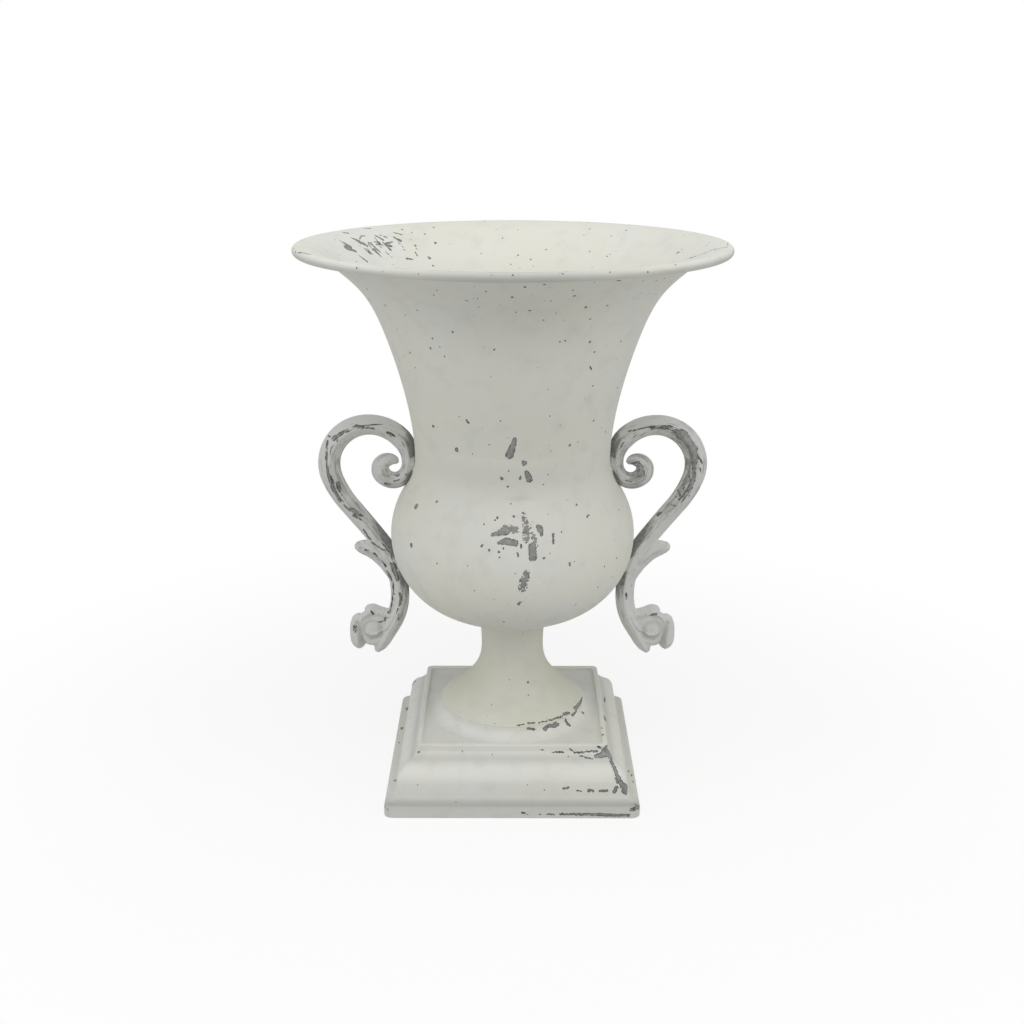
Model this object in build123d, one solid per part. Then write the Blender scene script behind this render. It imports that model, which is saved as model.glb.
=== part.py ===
from build123d import *
import math
import os

# Urn vase in painted metal: a flared neck on a round bowl, a bell stem on a
# square stepped plinth and two cast scroll handles. Millimetres, +Z up, origin
# at the centre of the underside. X runs through the two handles.

# Plinth: square mouldings, each stepped in from the one below
lip_half_width = 69.5
lip_height = 7.0
lip_edge_round = 1.8
foot_edge_round = 0.4
lip_corner = 4.5
lip_ledge = 4.1
cavetto_height = 5.0
cavetto_step = 2.4
cavetto_bow = -0.16
ovolo_height = 12.6
ovolo_upright = 5.0
ovolo_step = 4.4
ovolo_bow = 0.13
cove_height = 6.7
cove_step = 6.3
cove_bow = -0.05
border_height = 3.9
border_width = 2.8
moulding_corner = 3.0
tray_depth = 1.5
plinth_wall = 2.0
seat_height = 6.0
seat_upright = 1.4
seat_cove = 6.5

# Stem with its bell foot
bell_radius = 41.0
bell_lip = 1.2
stem_radius = 17.5
stem_waist_above_lip = 33.0
stem_top_above_waist = 16.6
stem_collar_radius = 18.9
bell_slope = 52.0
stem_draw = 14.0
bell_draw = 20.0
stem_wall = 1.5

# Bowl
belly_radius = 67.5
belly_above_floor = 50.1
belly_arc = 46.8
belly_lower_turn = 62.0
waist_radius = 53.4
waist_above_belly = 44.4
collar_above_waist = 12.0
sheet = 1.2

# Trumpet neck and its rolled rim
rim_radius = 114.5
rim_above_waist = 115.0
rim_bead = 2.3
rim_curl_turn = 235.0
neck_shape = ((0.076, 0.30), (0.236, 0.58), (0.447, 0.80), (0.665, 0.91))
spigot_length = 6.0
joggle_length = 5.0
joint_gap = 0.05

# Scroll handles: path runs as (length, turn in degrees, + is to the left),
# half widths as (length along the path, half width)
arch_out = 24.9
arch_up = 16.9
curl_runs = ((20.8, 51), (20.2, 69), (15.5, 112), (17.0, 162))
curl_widths = (
    (0, 5.7), (20, 5.9), (38, 4.1), (50, 4.9), (60, 5.5), (65, 5.1), (69, 4.4), (72, 3.2), (73.5, 1.6),
)
tail_runs = ((37.8, -96), (20.3, -31), (32.0, 0), (32.0, 37), (18.0, 32), (20.0, -8))
tail_widths = (
    (0, 5.7), (18, 6.1), (40, 6.2), (62, 5.7), (90, 5.5),
    (125, 5.3), (144, 5.2), (152, 4.6), (157, 3.2), (160, 1.0),
)
handle_depth_ratio = 0.92
bar_bow = 0.12
ridge_shift = 0.12
section_spacing = 9.0
section_turn = 30.0
seat_clearance = 0.1

# Acanthus spur and volute of the handles, placed outwards and upwards from the waist circle
spur_start = (12.1, -73.8)
spur_heading = 70.0
spur_runs = ((10.0, -10), (12.0, -26), (11.0, -44))
spur_widths = ((0, 3.4), (8, 4.4), (16, 5.0), (24, 4.9), (28, 4.5), (31.4, 3.2), (33, 1.4))
crest_start = (14.9, -94.5)
crest_heading = 8.0
crest_runs = ((9.0, 6), (6.8, -22))
crest_widths = ((0, 3.8), (4, 3.6), (8, 4.2), (12, 4.7), (14.4, 3.6), (15.8, 1.6))
lobe_start = (33.8, -94.0)
lobe_heading = -82.0
lobe_runs = ((21.2, -14),)
lobe_widths = ((0, 1.6), (2, 3.6), (6, 4.7), (12, 4.9), (17, 4.6), (19.8, 3.2), (21.2, 1.4))
eye_place = (26.0, -103.2)
eye_ring_radius = 6.9
eye_ring_bar = 4.0
eye_web = 4.0

# Fixing lugs of the handles and their screws, heights from the waist
upper_lug_rise = -4.8
lower_lug_rise = -62.3
lug_radius = 3.7
screw_radius = 2.0
screw_head_radius = 3.6
screw_head_height = 2.4
screw_head_round = 0.8
screw_engagement = 5.0
washer_radius = 4.5
washer_height = 0.8
thread_gap = 0.05
hole_gap = 0.25

# Tie bolt that draws bowl, stem and plinth together
bolt_radius = 3.0
bolt_head_flats = 10.0
bolt_head_height = 4.0
bolt_tail = 3.0
nut_height = 5.0
seal_radius = 11.0
seal_height = 2.0
tie_washer_radius = 9.0
tie_washer_height = 1.6
base_washer_radius = 16.0
base_washer_height = 2.0

# Half widths of the plinth, from the lip inwards
cavetto_half = lip_half_width - lip_ledge
ogee_half = cavetto_half - cavetto_step
ovolo_half = ogee_half - ovolo_step
border_half = ovolo_half - cove_step

# Heights of the stack, from the floor up
ogee_base = lip_height + cavetto_height
ovolo_base = ogee_base + ovolo_upright
cove_base = ogee_base + ovolo_height
border_base = cove_base + cove_height
border_top = border_base + border_height
tray_floor = border_top - tray_depth
seat_top = tray_floor + seat_height
stem_waist_height = seat_top + bell_lip + stem_waist_above_lip
bowl_floor = stem_waist_height + stem_top_above_waist
belly_height = bowl_floor + belly_above_floor
waist_height = belly_height + waist_above_belly
collar_top = waist_height + collar_above_waist
rim_top = waist_height + rim_above_waist


def polar(centre, radius, degrees):
    """Point at an angle on a circle in the drawing plane."""
    angle = math.radians(degrees)
    return (centre[0] + radius * math.cos(angle), centre[1] + radius * math.sin(angle))


def inset(edge, distance, points=9):
    """Curve that runs beside an edge, at a distance to the right of its direction; an arc stays an arc."""
    places = []
    for index in range(points):
        share = index / (points - 1)
        along = edge % share
        places.append(edge @ share + Vector(along.Y, -along.X) * distance)
    if edge.geom_type == GeomType.CIRCLE:
        return ThreePointArc(places[0], places[points // 2], places[-1])
    return Spline(*places, tangents=(edge % 0, edge % 1))


def chain(*points):
    """Straight edges from point to point."""
    return [Line(a, b) for a, b in zip(points, points[1:])]


def turned(edges):
    """Solid turned about the Z axis from a closed drawing of radius and height."""
    return revolve(Plane.XZ * make_face(edges), Axis.Z)


def level(height):
    """Plane across the drawing at a height, looking up."""
    return Plane(origin=(0, height, 0), z_dir=(0, 1, 0))


def disc(radius, bottom, height, bore=0.0):
    """Round plate with its underside at a height, with a bore when one is given."""
    plate = Pos(0, 0, bottom) * Cylinder(radius, height, align=(Align.CENTER, Align.CENTER, Align.MIN))
    if bore:
        plate -= Pos(0, 0, bottom) * Cylinder(bore, height, align=(Align.CENTER, Align.CENTER, Align.MIN))
    return plate


def hexagon(flats, bottom, height):
    """Hexagonal prism across its flats, with its underside at a height."""
    outline = RegularPolygon(flats / 2, 6, major_radius=False)
    return Pos(0, 0, bottom) * extrude(outline, height)


# Body meridian: radius and height of the outer skin, from the floor of the bowl to the rim
belly_centre = (belly_radius - belly_arc, belly_height)
reach = waist_radius - belly_centre[0]
waist_arc = (reach**2 + waist_above_belly**2 - belly_arc**2) / (2 * (belly_arc - reach))
waist_centre = (waist_radius + waist_arc, waist_height)
waist_turn = math.degrees(math.atan2(waist_above_belly, reach + waist_arc))
floor_start = Vector(*polar(belly_centre, belly_arc, -belly_lower_turn))
floor_end = Vector(stem_collar_radius, bowl_floor)
floor_normal = (Vector(*belly_centre) - floor_start).normalized()
floor_chord = floor_end - floor_start
floor_arc = floor_chord.dot(floor_chord) / (2 * floor_normal.dot(floor_chord))
floor_centre = floor_start + floor_normal * floor_arc
floor_turn = math.degrees(math.atan2(floor_centre.Y - floor_end.Y, floor_end.X - floor_centre.X))

floor_sweep = floor_turn - belly_lower_turn
floor_edge = CenterArc((floor_centre.X, floor_centre.Y), floor_arc, -floor_turn, floor_sweep)
belly_edge = CenterArc(belly_centre, belly_arc, -belly_lower_turn, belly_lower_turn + waist_turn)
waist_edge = CenterArc(waist_centre, waist_arc, 180 + waist_turn, -waist_turn)

flange_radius = rim_radius - rim_bead
flange_height = rim_top - sheet
flare = flange_radius - waist_radius
rise = flange_height - waist_height
neck_points = [(waist_radius + out * flare, waist_height + up * rise) for out, up in neck_shape]
throat_edge = Spline(
    (waist_radius, waist_height), *neck_points, (flange_radius, flange_height), tangents=((0, 1), (1, 0))
)


def share_at_height(edge, height):
    """Share of a rising edge's length at which it reaches a height, by halving."""
    low = 0.0
    high = 1.0
    for _ in range(40):
        middle = (low + high) / 2
        if (edge @ middle).Y < height:
            low = middle
        else:
            high = middle
    return (low + high) / 2


collar_edge = throat_edge.split(level(collar_top), keep=Keep.BOTTOM)
neck_edge = throat_edge.split(level(collar_top), keep=Keep.TOP)
body_edges = [floor_edge, belly_edge, waist_edge, collar_edge]


def wall_frame(height):
    """Plane on the bowl's outer skin at a height, on the +X side, looking outwards."""
    edge = belly_edge if height < (waist_edge @ 0).Y else waist_edge
    share = share_at_height(edge, height)
    place = edge @ share
    along = edge % share
    return Plane(origin=(place.X, 0, place.Y), x_dir=(along.X, 0, along.Y), z_dir=(along.Y, 0, -along.X))


def make_bowl():
    """Spun bowl: round belly, drawn-in waist, short collar and a flat floor with the bolt hole."""
    inner = [inset(edge, -sheet) for edge in body_edges]
    inner[-1] = inner[-1].split(level(collar_top), keep=Keep.BOTTOM)
    floor_inside = bowl_floor + sheet
    floor_corner = (inner[0] @ 0).X
    bore = bolt_radius + hole_gap
    outline = [*body_edges, *inner]
    outline += [Line(collar_edge @ 1, inner[-1] @ 1)]
    outline += chain(inner[0] @ 0, (floor_corner, floor_inside), (bore, floor_inside))
    outline += chain((bore, floor_inside), (bore, bowl_floor), floor_edge @ 0)
    return turned(outline)


def make_neck():
    """Spun trumpet: spigot that slips into the collar, flared wall and a rim rolled under."""
    inner = inset(neck_edge, -sheet)
    bead_centre = (flange_radius, rim_top - rim_bead)
    curl_inside = rim_bead - sheet
    curl_outer = CenterArc(bead_centre, rim_bead, 90, -rim_curl_turn)
    curl_inner = CenterArc(bead_centre, curl_inside, 90, -rim_curl_turn)
    spigot_outer = waist_radius - sheet - joint_gap
    spigot_inner = spigot_outer - sheet
    skin = inner.split(level(collar_top + joggle_length), keep=Keep.TOP)
    outline = [neck_edge, curl_inner, Line(curl_inner @ 1, curl_outer @ 1), curl_outer, skin]
    outline += chain(
        skin @ 0,
        (spigot_inner, collar_top),
        (spigot_inner, collar_top - spigot_length),
        (spigot_outer, collar_top - spigot_length),
        (spigot_outer, collar_top),
        neck_edge @ 0,
    )
    return turned(outline)


def make_stem():
    """Spun stem: flat top under the bowl, slim waist and a bell foot with an upright lip."""
    lip_top = seat_top + bell_lip
    slope = math.radians(bell_slope)
    waist = (stem_radius, stem_waist_height)
    bell_pull = (bell_radius - bell_draw * math.sin(slope), lip_top + bell_draw * math.cos(slope))
    bell_edge = Bezier((bell_radius, lip_top), bell_pull, (stem_radius, stem_waist_height - stem_draw), waist)
    shaft_edge = Spline(waist, (stem_collar_radius, bowl_floor), tangents=((0, 1), (0.2, 1)))
    inner = [inset(bell_edge, -stem_wall), inset(shaft_edge, -stem_wall)]
    ceiling = bowl_floor - stem_wall
    shaft_inside = inner[1].split(level(ceiling), keep=Keep.BOTTOM)
    bore = bolt_radius + hole_gap
    outline = [bell_edge, shaft_edge, inner[0], shaft_inside]
    outline += chain(shaft_edge @ 1, (bore, bowl_floor), (bore, ceiling), shaft_inside @ 1)
    outline += chain(inner[0] @ 0, ((inner[0] @ 0).X, seat_top), (bell_radius, seat_top), bell_edge @ 0)
    return turned(outline)


def square(half_width, height, corner):
    """Rounded square section of the plinth at a height."""
    return Pos(0, 0, height) * RectangleRounded(2 * half_width, 2 * half_width, corner)


def moulding(bottom_half, bottom, top_half, top, bow, steps=5):
    """Band between two square sections, on an arc whose bow is a share of its chord; negative is hollow."""
    half_turn = 2 * math.atan(2 * bow)
    step_in = top_half - bottom_half
    step_up = top - bottom
    sections = []
    for index in range(steps):
        angle = half_turn * (2 * index / (steps - 1) - 1)
        along = (1 + math.sin(angle) / math.sin(half_turn)) / 2
        out = (math.cos(angle) - math.cos(half_turn)) / (2 * math.sin(half_turn))
        half = bottom_half + step_in * along + step_up * out
        height = bottom + step_up * along - step_in * out
        sections.append(square(half, height, moulding_corner))
    return loft(sections)


def make_plinth():
    """Square stepped plinth, hollow below, with a bordered tray and a round seat for the bell."""
    lip = extrude(square(lip_half_width, 0, lip_corner), lip_height)
    lip = fillet(lip.faces().sort_by(Axis.Z)[-1].edges(), lip_edge_round)
    lip = fillet(lip.faces().sort_by(Axis.Z)[0].edges(), foot_edge_round)
    body = lip + moulding(cavetto_half, lip_height, ogee_half, ogee_base, cavetto_bow)
    body += extrude(square(ogee_half, ogee_base, moulding_corner), ovolo_upright)
    body += moulding(ogee_half, ovolo_base, ovolo_half, cove_base, ovolo_bow)
    body += moulding(ovolo_half, cove_base, border_half, border_base, cove_bow)
    body += extrude(square(border_half, border_base, moulding_corner), border_height)
    body -= extrude(square(border_half - border_width, tray_floor, moulding_corner), tray_depth)
    cove_start = bell_radius + seat_cove
    upright_base = seat_top - seat_upright
    cove_height_left = upright_base - tray_floor
    cove_centre = (cove_start, upright_base)
    seat_outline = [EllipticalCenterArc(cove_centre, seat_cove, cove_height_left, 180, arc_size=90)]
    seat_outline += chain((bell_radius, upright_base), (bell_radius, seat_top), (0, seat_top))
    seat_outline += chain((0, seat_top), (0, tray_floor), (cove_start, tray_floor))
    body += turned(seat_outline)
    inside = [
        (lip_half_width - plinth_wall, 0),
        (lip_half_width - plinth_wall, lip_height - plinth_wall),
        (ogee_half - plinth_wall, ogee_base - plinth_wall),
        (ogee_half - plinth_wall, ovolo_base),
        (ovolo_half - plinth_wall, cove_base - plinth_wall),
        (border_half - plinth_wall, border_base - plinth_wall),
        (border_half - plinth_wall, tray_floor - plinth_wall),
    ]
    body -= loft([square(half, height, moulding_corner) for half, height in inside], ruled=True)
    seat_inside = disc(bell_radius - 2 * plinth_wall, lip_height, seat_top - plinth_wall - lip_height)
    return body - seat_inside - disc(bolt_radius + hole_gap, 0, seat_top)


def walk(start, heading, runs):
    """Stations (length, x, z, heading) along tangent arcs and straights, each run as (length, turn)."""
    place = Vector(*start)
    angle = math.radians(heading)
    travelled = 0.0
    stations = [(0.0, place.X, place.Y, angle)]
    for length, turn in runs:
        count = math.ceil(max(length / section_spacing, abs(turn) / section_turn))
        step = length / count
        bend = math.radians(turn) / count
        for _ in range(count):
            chord_angle = angle + bend / 2
            chord = step if bend == 0 else step * math.sin(bend / 2) / (bend / 2)
            place += Vector(chord * math.cos(chord_angle), chord * math.sin(chord_angle))
            angle += bend
            travelled += step
            stations.append((travelled, place.X, place.Y, angle))
    return stations


def graded(table, length):
    """Half width at a length, in proportion between the table's entries."""
    for (low, low_value), (high, high_value) in zip(table, table[1:]):
        if length <= high:
            return low_value + (high_value - low_value) * (length - low) / (high - low)
    return table[-1][1]


def bar_section(x, z, angle, half_width):
    """Lozenge section with bowed sides, square to the path; its front and back ridges lie nearer the vase."""
    half_depth = half_width * handle_depth_ratio
    ridge = -half_width * ridge_shift
    corners = [(half_width, 0), (ridge, half_depth), (-half_width, 0), (ridge, -half_depth)]
    bow = -2 * half_width * bar_bow
    sides = [SagittaArc(corners[i], corners[(i + 1) % 4], bow) for i in range(4)]
    direction = (math.cos(angle), 0, math.sin(angle))
    across = (-math.sin(angle), 0, math.cos(angle))
    return Plane(origin=(x, 0, z), x_dir=across, z_dir=direction) * make_face(sides)


def bar(stations, table, backwards=False):
    """Sections of a tapering bar at each station of its path."""
    turn = math.pi if backwards else 0.0
    sections = [bar_section(x, z, angle + turn, graded(table, s)) for s, x, z, angle in stations]
    return sections[::-1] if backwards else sections


def from_waist(place):
    """Point of a handle given outwards and upwards from the waist circle on the +X side."""
    return (waist_radius + place[0], waist_height + place[1])


def body_envelope():
    """Everything inside the painted outer skin of the bowl and neck, with the seating clearance."""
    skin = [inset(edge, seat_clearance) for edge in (*body_edges, neck_edge)]
    bottom = skin[0] @ 0
    top = skin[-1] @ 1
    return turned([*skin, *chain(top, (0, top.Y), (0, bottom.Y), bottom)])


def make_eye():
    """Eye of the volute: a round ring about a dished web, turned about a line from front to back."""
    meet = math.degrees(math.asin(eye_web / 2 / eye_ring_bar))
    ring = CenterArc((eye_ring_radius, 0), eye_ring_bar, 180 + meet, 360 - 2 * meet)
    web = chain(ring @ 1, (0, eye_web / 2), (0, -eye_web / 2), ring @ 0)
    place = from_waist(eye_place)
    return Pos(place[0], 0, place[1]) * Rot(90, 0, 0) * turned([ring, *web])


def make_lug(frame, stations):
    """Round lug from the wall to the middle of the bar, where the bar's path passes the lug's axis."""
    offsets = [Vector(x, 0, z) - frame.origin for _, x, z, _ in stations]
    nearest = min(offsets, key=lambda offset: offset.cross(frame.z_dir).length)
    return frame * Cylinder(lug_radius, 2 * nearest.dot(frame.z_dir))


def make_handle():
    """Cast scroll handle on the +X side: curled bar, acanthus spur, volute and two fixing lugs."""
    arch = from_waist((arch_out, arch_up))
    curl_path = walk(arch, 180, curl_runs)
    tail_path = walk(arch, 0, tail_runs)
    curl = bar(curl_path, curl_widths, backwards=True)
    tail = bar(tail_path, tail_widths)
    leaves = [make_eye()]
    for start, heading, runs, widths in (
        (lobe_start, lobe_heading, lobe_runs, lobe_widths),
        (crest_start, crest_heading, crest_runs, crest_widths),
        (spur_start, spur_heading, spur_runs, spur_widths),
    ):
        leaves.append(loft(bar(walk(from_waist(start), heading, runs), widths)))
    lugs = [make_lug(frame, path) for frame, path in zip(lug_frames, (curl_path, tail_path))]
    handle = loft(curl + tail[1:]) + [*leaves, *lugs] - body_envelope()
    for frame in lug_frames:
        handle -= frame * Cylinder(screw_radius + thread_gap, 2 * screw_engagement)
    return handle


def washer_seat(frame):
    """Plane on which a flat washer bears inside the wall: its rim meets the curved skin."""
    inside_radius = min(frame.origin.X, belly_arc) - sheet
    hollow = inside_radius - math.sqrt(inside_radius**2 - washer_radius**2)
    return frame.offset(-sheet - hollow)


def make_screw(frame):
    """Pan-headed screw put in from inside the bowl."""
    head_face = washer_seat(frame).offset(-washer_height)
    shank_length = screw_engagement + (frame.origin - head_face.origin).length
    shank = head_face * Cylinder(screw_radius, shank_length, align=(Align.CENTER, Align.CENTER, Align.MIN))
    head = head_face.offset(-screw_head_height) * Cylinder(
        screw_head_radius, screw_head_height, align=(Align.CENTER, Align.CENTER, Align.MIN)
    )
    inwards = Axis((0, 0, 0), frame.z_dir)
    head = fillet(head.edges().sort_by(inwards)[0], screw_head_round)
    return head + shank


def make_washer(frame):
    """Flat washer under a screw head."""
    face = washer_seat(frame).offset(-washer_height)
    ring = Circle(washer_radius) - Circle(screw_radius + hole_gap)
    return face * extrude(ring, washer_height)


os.makedirs("parts", exist_ok=True)

lug_frames = [wall_frame(waist_height + rise) for rise in (upper_lug_rise, lower_lug_rise)]
bowl = make_bowl()
for lug_frame in lug_frames:
    drill = lug_frame * Cylinder(screw_radius + hole_gap, 4 * sheet)
    bowl -= drill
    bowl -= mirror(drill, Plane.YZ)

handle_right = make_handle()
screws = [make_screw(lug_frame) for lug_frame in lug_frames]
washers = [make_washer(lug_frame) for lug_frame in lug_frames]

seal_base = bowl_floor + sheet
tie_washer_base = seal_base + seal_height
head_base = tie_washer_base + tie_washer_height
seat_ceiling = seat_top - plinth_wall
nut_base = seat_ceiling - base_washer_height - nut_height
bolt_end = nut_base - bolt_tail
bolt_bore = bolt_radius + hole_gap

nodes = {
    "neck_trumpet": make_neck(),
    "bowl": bowl,
    "stem_foot": make_stem(),
    "plinth": make_plinth(),
    "handle_right": handle_right,
    "handle_left": mirror(handle_right, Plane.YZ),
    "handle_screws": Compound([*screws, *[mirror(screw, Plane.YZ) for screw in screws]]),
    "handle_washers": Compound([*washers, *[mirror(washer, Plane.YZ) for washer in washers]]),
    "sealing_washer": disc(seal_radius, seal_base, seal_height, bolt_bore),
    "tie_washer": disc(tie_washer_radius, tie_washer_base, tie_washer_height, bolt_bore),
    "tie_bolt": hexagon(bolt_head_flats, head_base, bolt_head_height)
    + disc(bolt_radius, bolt_end, head_base - bolt_end),
    "base_washer": disc(base_washer_radius, seat_ceiling - base_washer_height, base_washer_height, bolt_bore),
    "tie_nut": hexagon(bolt_head_flats, nut_base, nut_height)
    - disc(bolt_radius + thread_gap, nut_base, nut_height),
}
for name, shape in nodes.items():
    export_step(shape, f"parts/{name}.step")
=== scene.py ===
import logging
import math
from dataclasses import dataclass, replace
from enum import Enum

import bmesh
import bpy
import numpy as np
from mathutils import Matrix, Vector
from numpy.typing import NDArray


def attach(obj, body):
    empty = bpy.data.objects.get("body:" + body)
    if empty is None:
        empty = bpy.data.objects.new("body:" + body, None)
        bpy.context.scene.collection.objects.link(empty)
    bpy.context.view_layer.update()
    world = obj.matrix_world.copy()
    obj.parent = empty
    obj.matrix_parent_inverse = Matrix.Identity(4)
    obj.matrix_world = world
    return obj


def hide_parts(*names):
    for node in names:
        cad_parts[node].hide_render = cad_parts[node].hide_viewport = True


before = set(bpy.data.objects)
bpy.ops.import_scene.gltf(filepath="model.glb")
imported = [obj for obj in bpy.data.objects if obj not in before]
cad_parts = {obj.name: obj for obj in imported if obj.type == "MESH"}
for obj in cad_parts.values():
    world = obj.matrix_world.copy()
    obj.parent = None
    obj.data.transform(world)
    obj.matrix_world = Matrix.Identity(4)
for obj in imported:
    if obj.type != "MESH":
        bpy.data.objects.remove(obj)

# The urn vase in painted metal, dressed for the photograph. Sizes are in millimetres
# until a mesh is made. X runs through the handles, -Y points to the viewer and Z is up.

MM = 0.001
SAME_POINT = 1e-6
SHORTEST = 0.1
WELD = 1e-4
EVERYWHERE = 900.0
WHITE = (1.0, 1.0, 1.0, 1.0)
NUMBER_RESULTS = ("DOT_PRODUCT", "DISTANCE", "LENGTH")
LOG = logging.getLogger("urn_vase")

Array = NDArray[np.float64]
Faces = NDArray[np.int64]
Pair = tuple[float, float]
Triple = tuple[float, float, float]
Rows = tuple[Pair, ...]
Item = bpy.types.Object
Mesh = bpy.types.Mesh
Material = bpy.types.Material
Tree = bpy.types.NodeTree
Socket = bpy.types.NodeSocket


# Lines in the drawing plane


def arc(centre: Pair | Array, radius: float, start: float, end: float, count: int = 24) -> Array:
    """Points on a circle: centre + radius * (cos a, sin a), with a in even steps.

    Args:
        centre: Centre of the circle.
        radius: Its radius.
        start: First angle in degrees.
        end: Last angle in degrees.
        count: Number of points.

    Returns:
        Array of shape (count, 2).
    """
    angle = np.radians(np.linspace(start, end, count))
    return np.column_stack((centre[0] + radius * np.cos(angle), centre[1] + radius * np.sin(angle)))


def clamped_spline(knots: Array, start: Pair, end: Pair, per_span: int = 16) -> Array:
    """Cubic spline through knots with given directions at its ends.

    Chord lengths are the parameters. The slopes at the knots solve the three-term equations that
    make the second derivative continuous, and each span is a Hermite cubic of its two slopes.

    Args:
        knots: Points to pass through, shape (n, 2).
        start: Direction at the first knot.
        end: Direction at the last knot.
        per_span: Points per span.

    Returns:
        Array of shape ((n - 1) * per_span + 1, 2).
    """
    step = np.diff(knots, axis=0)
    chord = np.linalg.norm(step, axis=1)
    count = len(knots)
    system = np.eye(count)
    right = np.zeros((count, 2))
    right[0] = np.asarray(start) / np.linalg.norm(start)
    right[-1] = np.asarray(end) / np.linalg.norm(end)
    inner = np.arange(1, count - 1)
    system[inner, inner - 1] = chord[1:]
    system[inner, inner] = 2 * (chord[:-1] + chord[1:])
    system[inner, inner + 1] = chord[:-1]
    rate = step / chord[:, None]
    right[1:-1] = 3 * (chord[:-1, None] * rate[1:] + chord[1:, None] * rate[:-1])
    slope = np.linalg.solve(system, right)
    u = np.linspace(0, 1, per_span, endpoint=False)[None, :, None]
    first, last = knots[:-1, None], knots[1:, None]
    rise = (chord[:, None] * slope[:-1])[:, None]
    fall = (chord[:, None] * slope[1:])[:, None]
    spans = (1 + 2 * u) * (1 - u) ** 2 * first + u * (1 - u) ** 2 * rise
    spans = spans + u**2 * (3 - 2 * u) * last + u**2 * (u - 1) * fall
    return np.vstack((spans.reshape(-1, 2), knots[-1:]))


def beside(line: Array, distance: float) -> Array:
    """Line moved to the left of its direction, along its normals.

    Args:
        line: Points of shape (n, 2).
        distance: How far to move it.

    Returns:
        Array of shape (n, 2).
    """
    along = np.gradient(line, axis=0)
    along /= np.linalg.norm(along, axis=1, keepdims=True)
    return line + distance * np.column_stack((-along[:, 1], along[:, 0]))


def joined(*lines: Array | list[Pair]) -> Array:
    """Lines end to end, without the points that repeat.

    Args:
        lines: Lines in order, each of shape (n, 2).

    Returns:
        Array of shape (m, 2).
    """
    line = np.vstack([np.asarray(part, dtype=float).reshape(-1, 2) for part in lines])
    apart = np.linalg.norm(np.diff(line, axis=0), axis=1) > SAME_POINT
    return line[np.concatenate(([True], apart))]


def read_off(rows: Rows, places: Array) -> Array:
    """Values at places from rows of (place, value), straight between rows."""
    table = np.asarray(rows)
    return np.interp(places, table[:, 0], table[:, 1])


def bell(distance: Array, reach: float | Array) -> Array:
    """Soft share that fades with distance: exp(-(distance / reach)^2)."""
    return np.exp(-((distance / reach) ** 2))


# Meshes


def grid_quads(rows: int, columns: int, loop: bool) -> Faces:
    """Corner numbers of the quads of a grid whose columns close on themselves.

    Args:
        rows: Number of rows.
        columns: Number of columns.
        loop: Whether the last row joins the first.

    Returns:
        Array of shape (faces, 4).
    """
    row = np.arange(rows if loop else rows - 1)[:, None]
    column = np.arange(columns)[None, :]
    here, above = row * columns, (row + 1) % rows * columns
    beyond = (column + 1) % columns
    corners = (here + column, here + beyond, above + beyond, above + column)
    return np.stack(np.broadcast_arrays(*corners), axis=-1).reshape(-1, 4)


def mesh_object(name: str, points: Array, quads: Faces) -> Item:
    """Object at the origin, with doubles merged and faces turned outwards.

    Args:
        name: Name of the object and mesh.
        points: Places in millimetres, shape (n, 3).
        quads: Corner numbers, shape (m, 4).

    Returns:
        The new object, linked to the scene.
    """
    mesh = bpy.data.meshes.new(name)
    mesh.from_pydata((points * MM).tolist(), [], quads.tolist())
    work = bmesh.new()
    work.from_mesh(mesh)
    bmesh.ops.remove_doubles(work, verts=work.verts, dist=WELD * MM)
    bmesh.ops.recalc_face_normals(work, faces=work.faces)
    work.to_mesh(mesh)
    work.free()
    item = bpy.data.objects.new(name, mesh)
    bpy.context.scene.collection.objects.link(item)
    return item


def vertex_places(mesh: Mesh) -> Array:
    """Places of a mesh's vertices.

    Args:
        mesh: The mesh.

    Returns:
        Millimetres, shape (n, 3).
    """
    flat = np.empty(3 * len(mesh.vertices))
    mesh.vertices.foreach_get("co", flat)
    return flat.reshape(-1, 3) / MM


def write_attributes(mesh: Mesh, **layers: Array) -> None:
    """Stores numbers or vectors per vertex under the names that the finishes read.

    Args:
        mesh: Mesh to write to.
        layers: Arrays of shape (n,) or (n, 3) by name.
    """
    for name, values in layers.items():
        kind, field = ("FLOAT", "value") if values.ndim == 1 else ("FLOAT_VECTOR", "vector")
        layer = mesh.attributes.new(name, kind, "POINT")
        layer.data.foreach_set(field, values.astype(np.float32).ravel())


def finish_shading(mesh: Mesh, sharp: float) -> None:
    """Gives a mesh smooth shading with some edges kept sharp.

    Args:
        mesh: Mesh to shade.
        sharp: Angle in degrees past which an edge stays sharp.
    """
    mesh.polygons.foreach_set("use_smooth", np.ones(len(mesh.polygons), dtype=bool))
    mesh.set_sharp_from_angle(angle=math.radians(sharp))
    mesh.update()


@dataclass(frozen=True)
class WearZone:
    """Soft ball-shaped place on the paint: amount * exp(-(distance / reach)^2)."""

    place: Triple | Pair
    reach: Triple | Pair
    amount: float

    def at(self, points: Array) -> Array:
        """Share at each point."""
        away = (points - np.asarray(self.place)) / np.asarray(self.reach)
        return self.amount * np.exp(-np.sum(away**2, axis=1))


@dataclass(frozen=True)
class RingZone(WearZone):
    """Soft ring about the axis, whose place and reach are a radius and a height."""

    def at(self, points: Array) -> Array:
        """Share at each point."""
        radius = np.hypot(points[:, 0], points[:, 1])
        return super().at(np.column_stack((radius, points[:, 2])))


Zones = tuple[WearZone, ...]


def zone_shares(points: Array, zones: Zones) -> Array:
    """Largest share of the zones at each point, or 0 where there are none.

    Args:
        points: Places of shape (n, 3).
        zones: The zones.

    Returns:
        Shares of shape (n,).
    """
    if not zones:
        return np.zeros(len(points))
    return np.max([zone.at(points) for zone in zones], axis=0)


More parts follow.
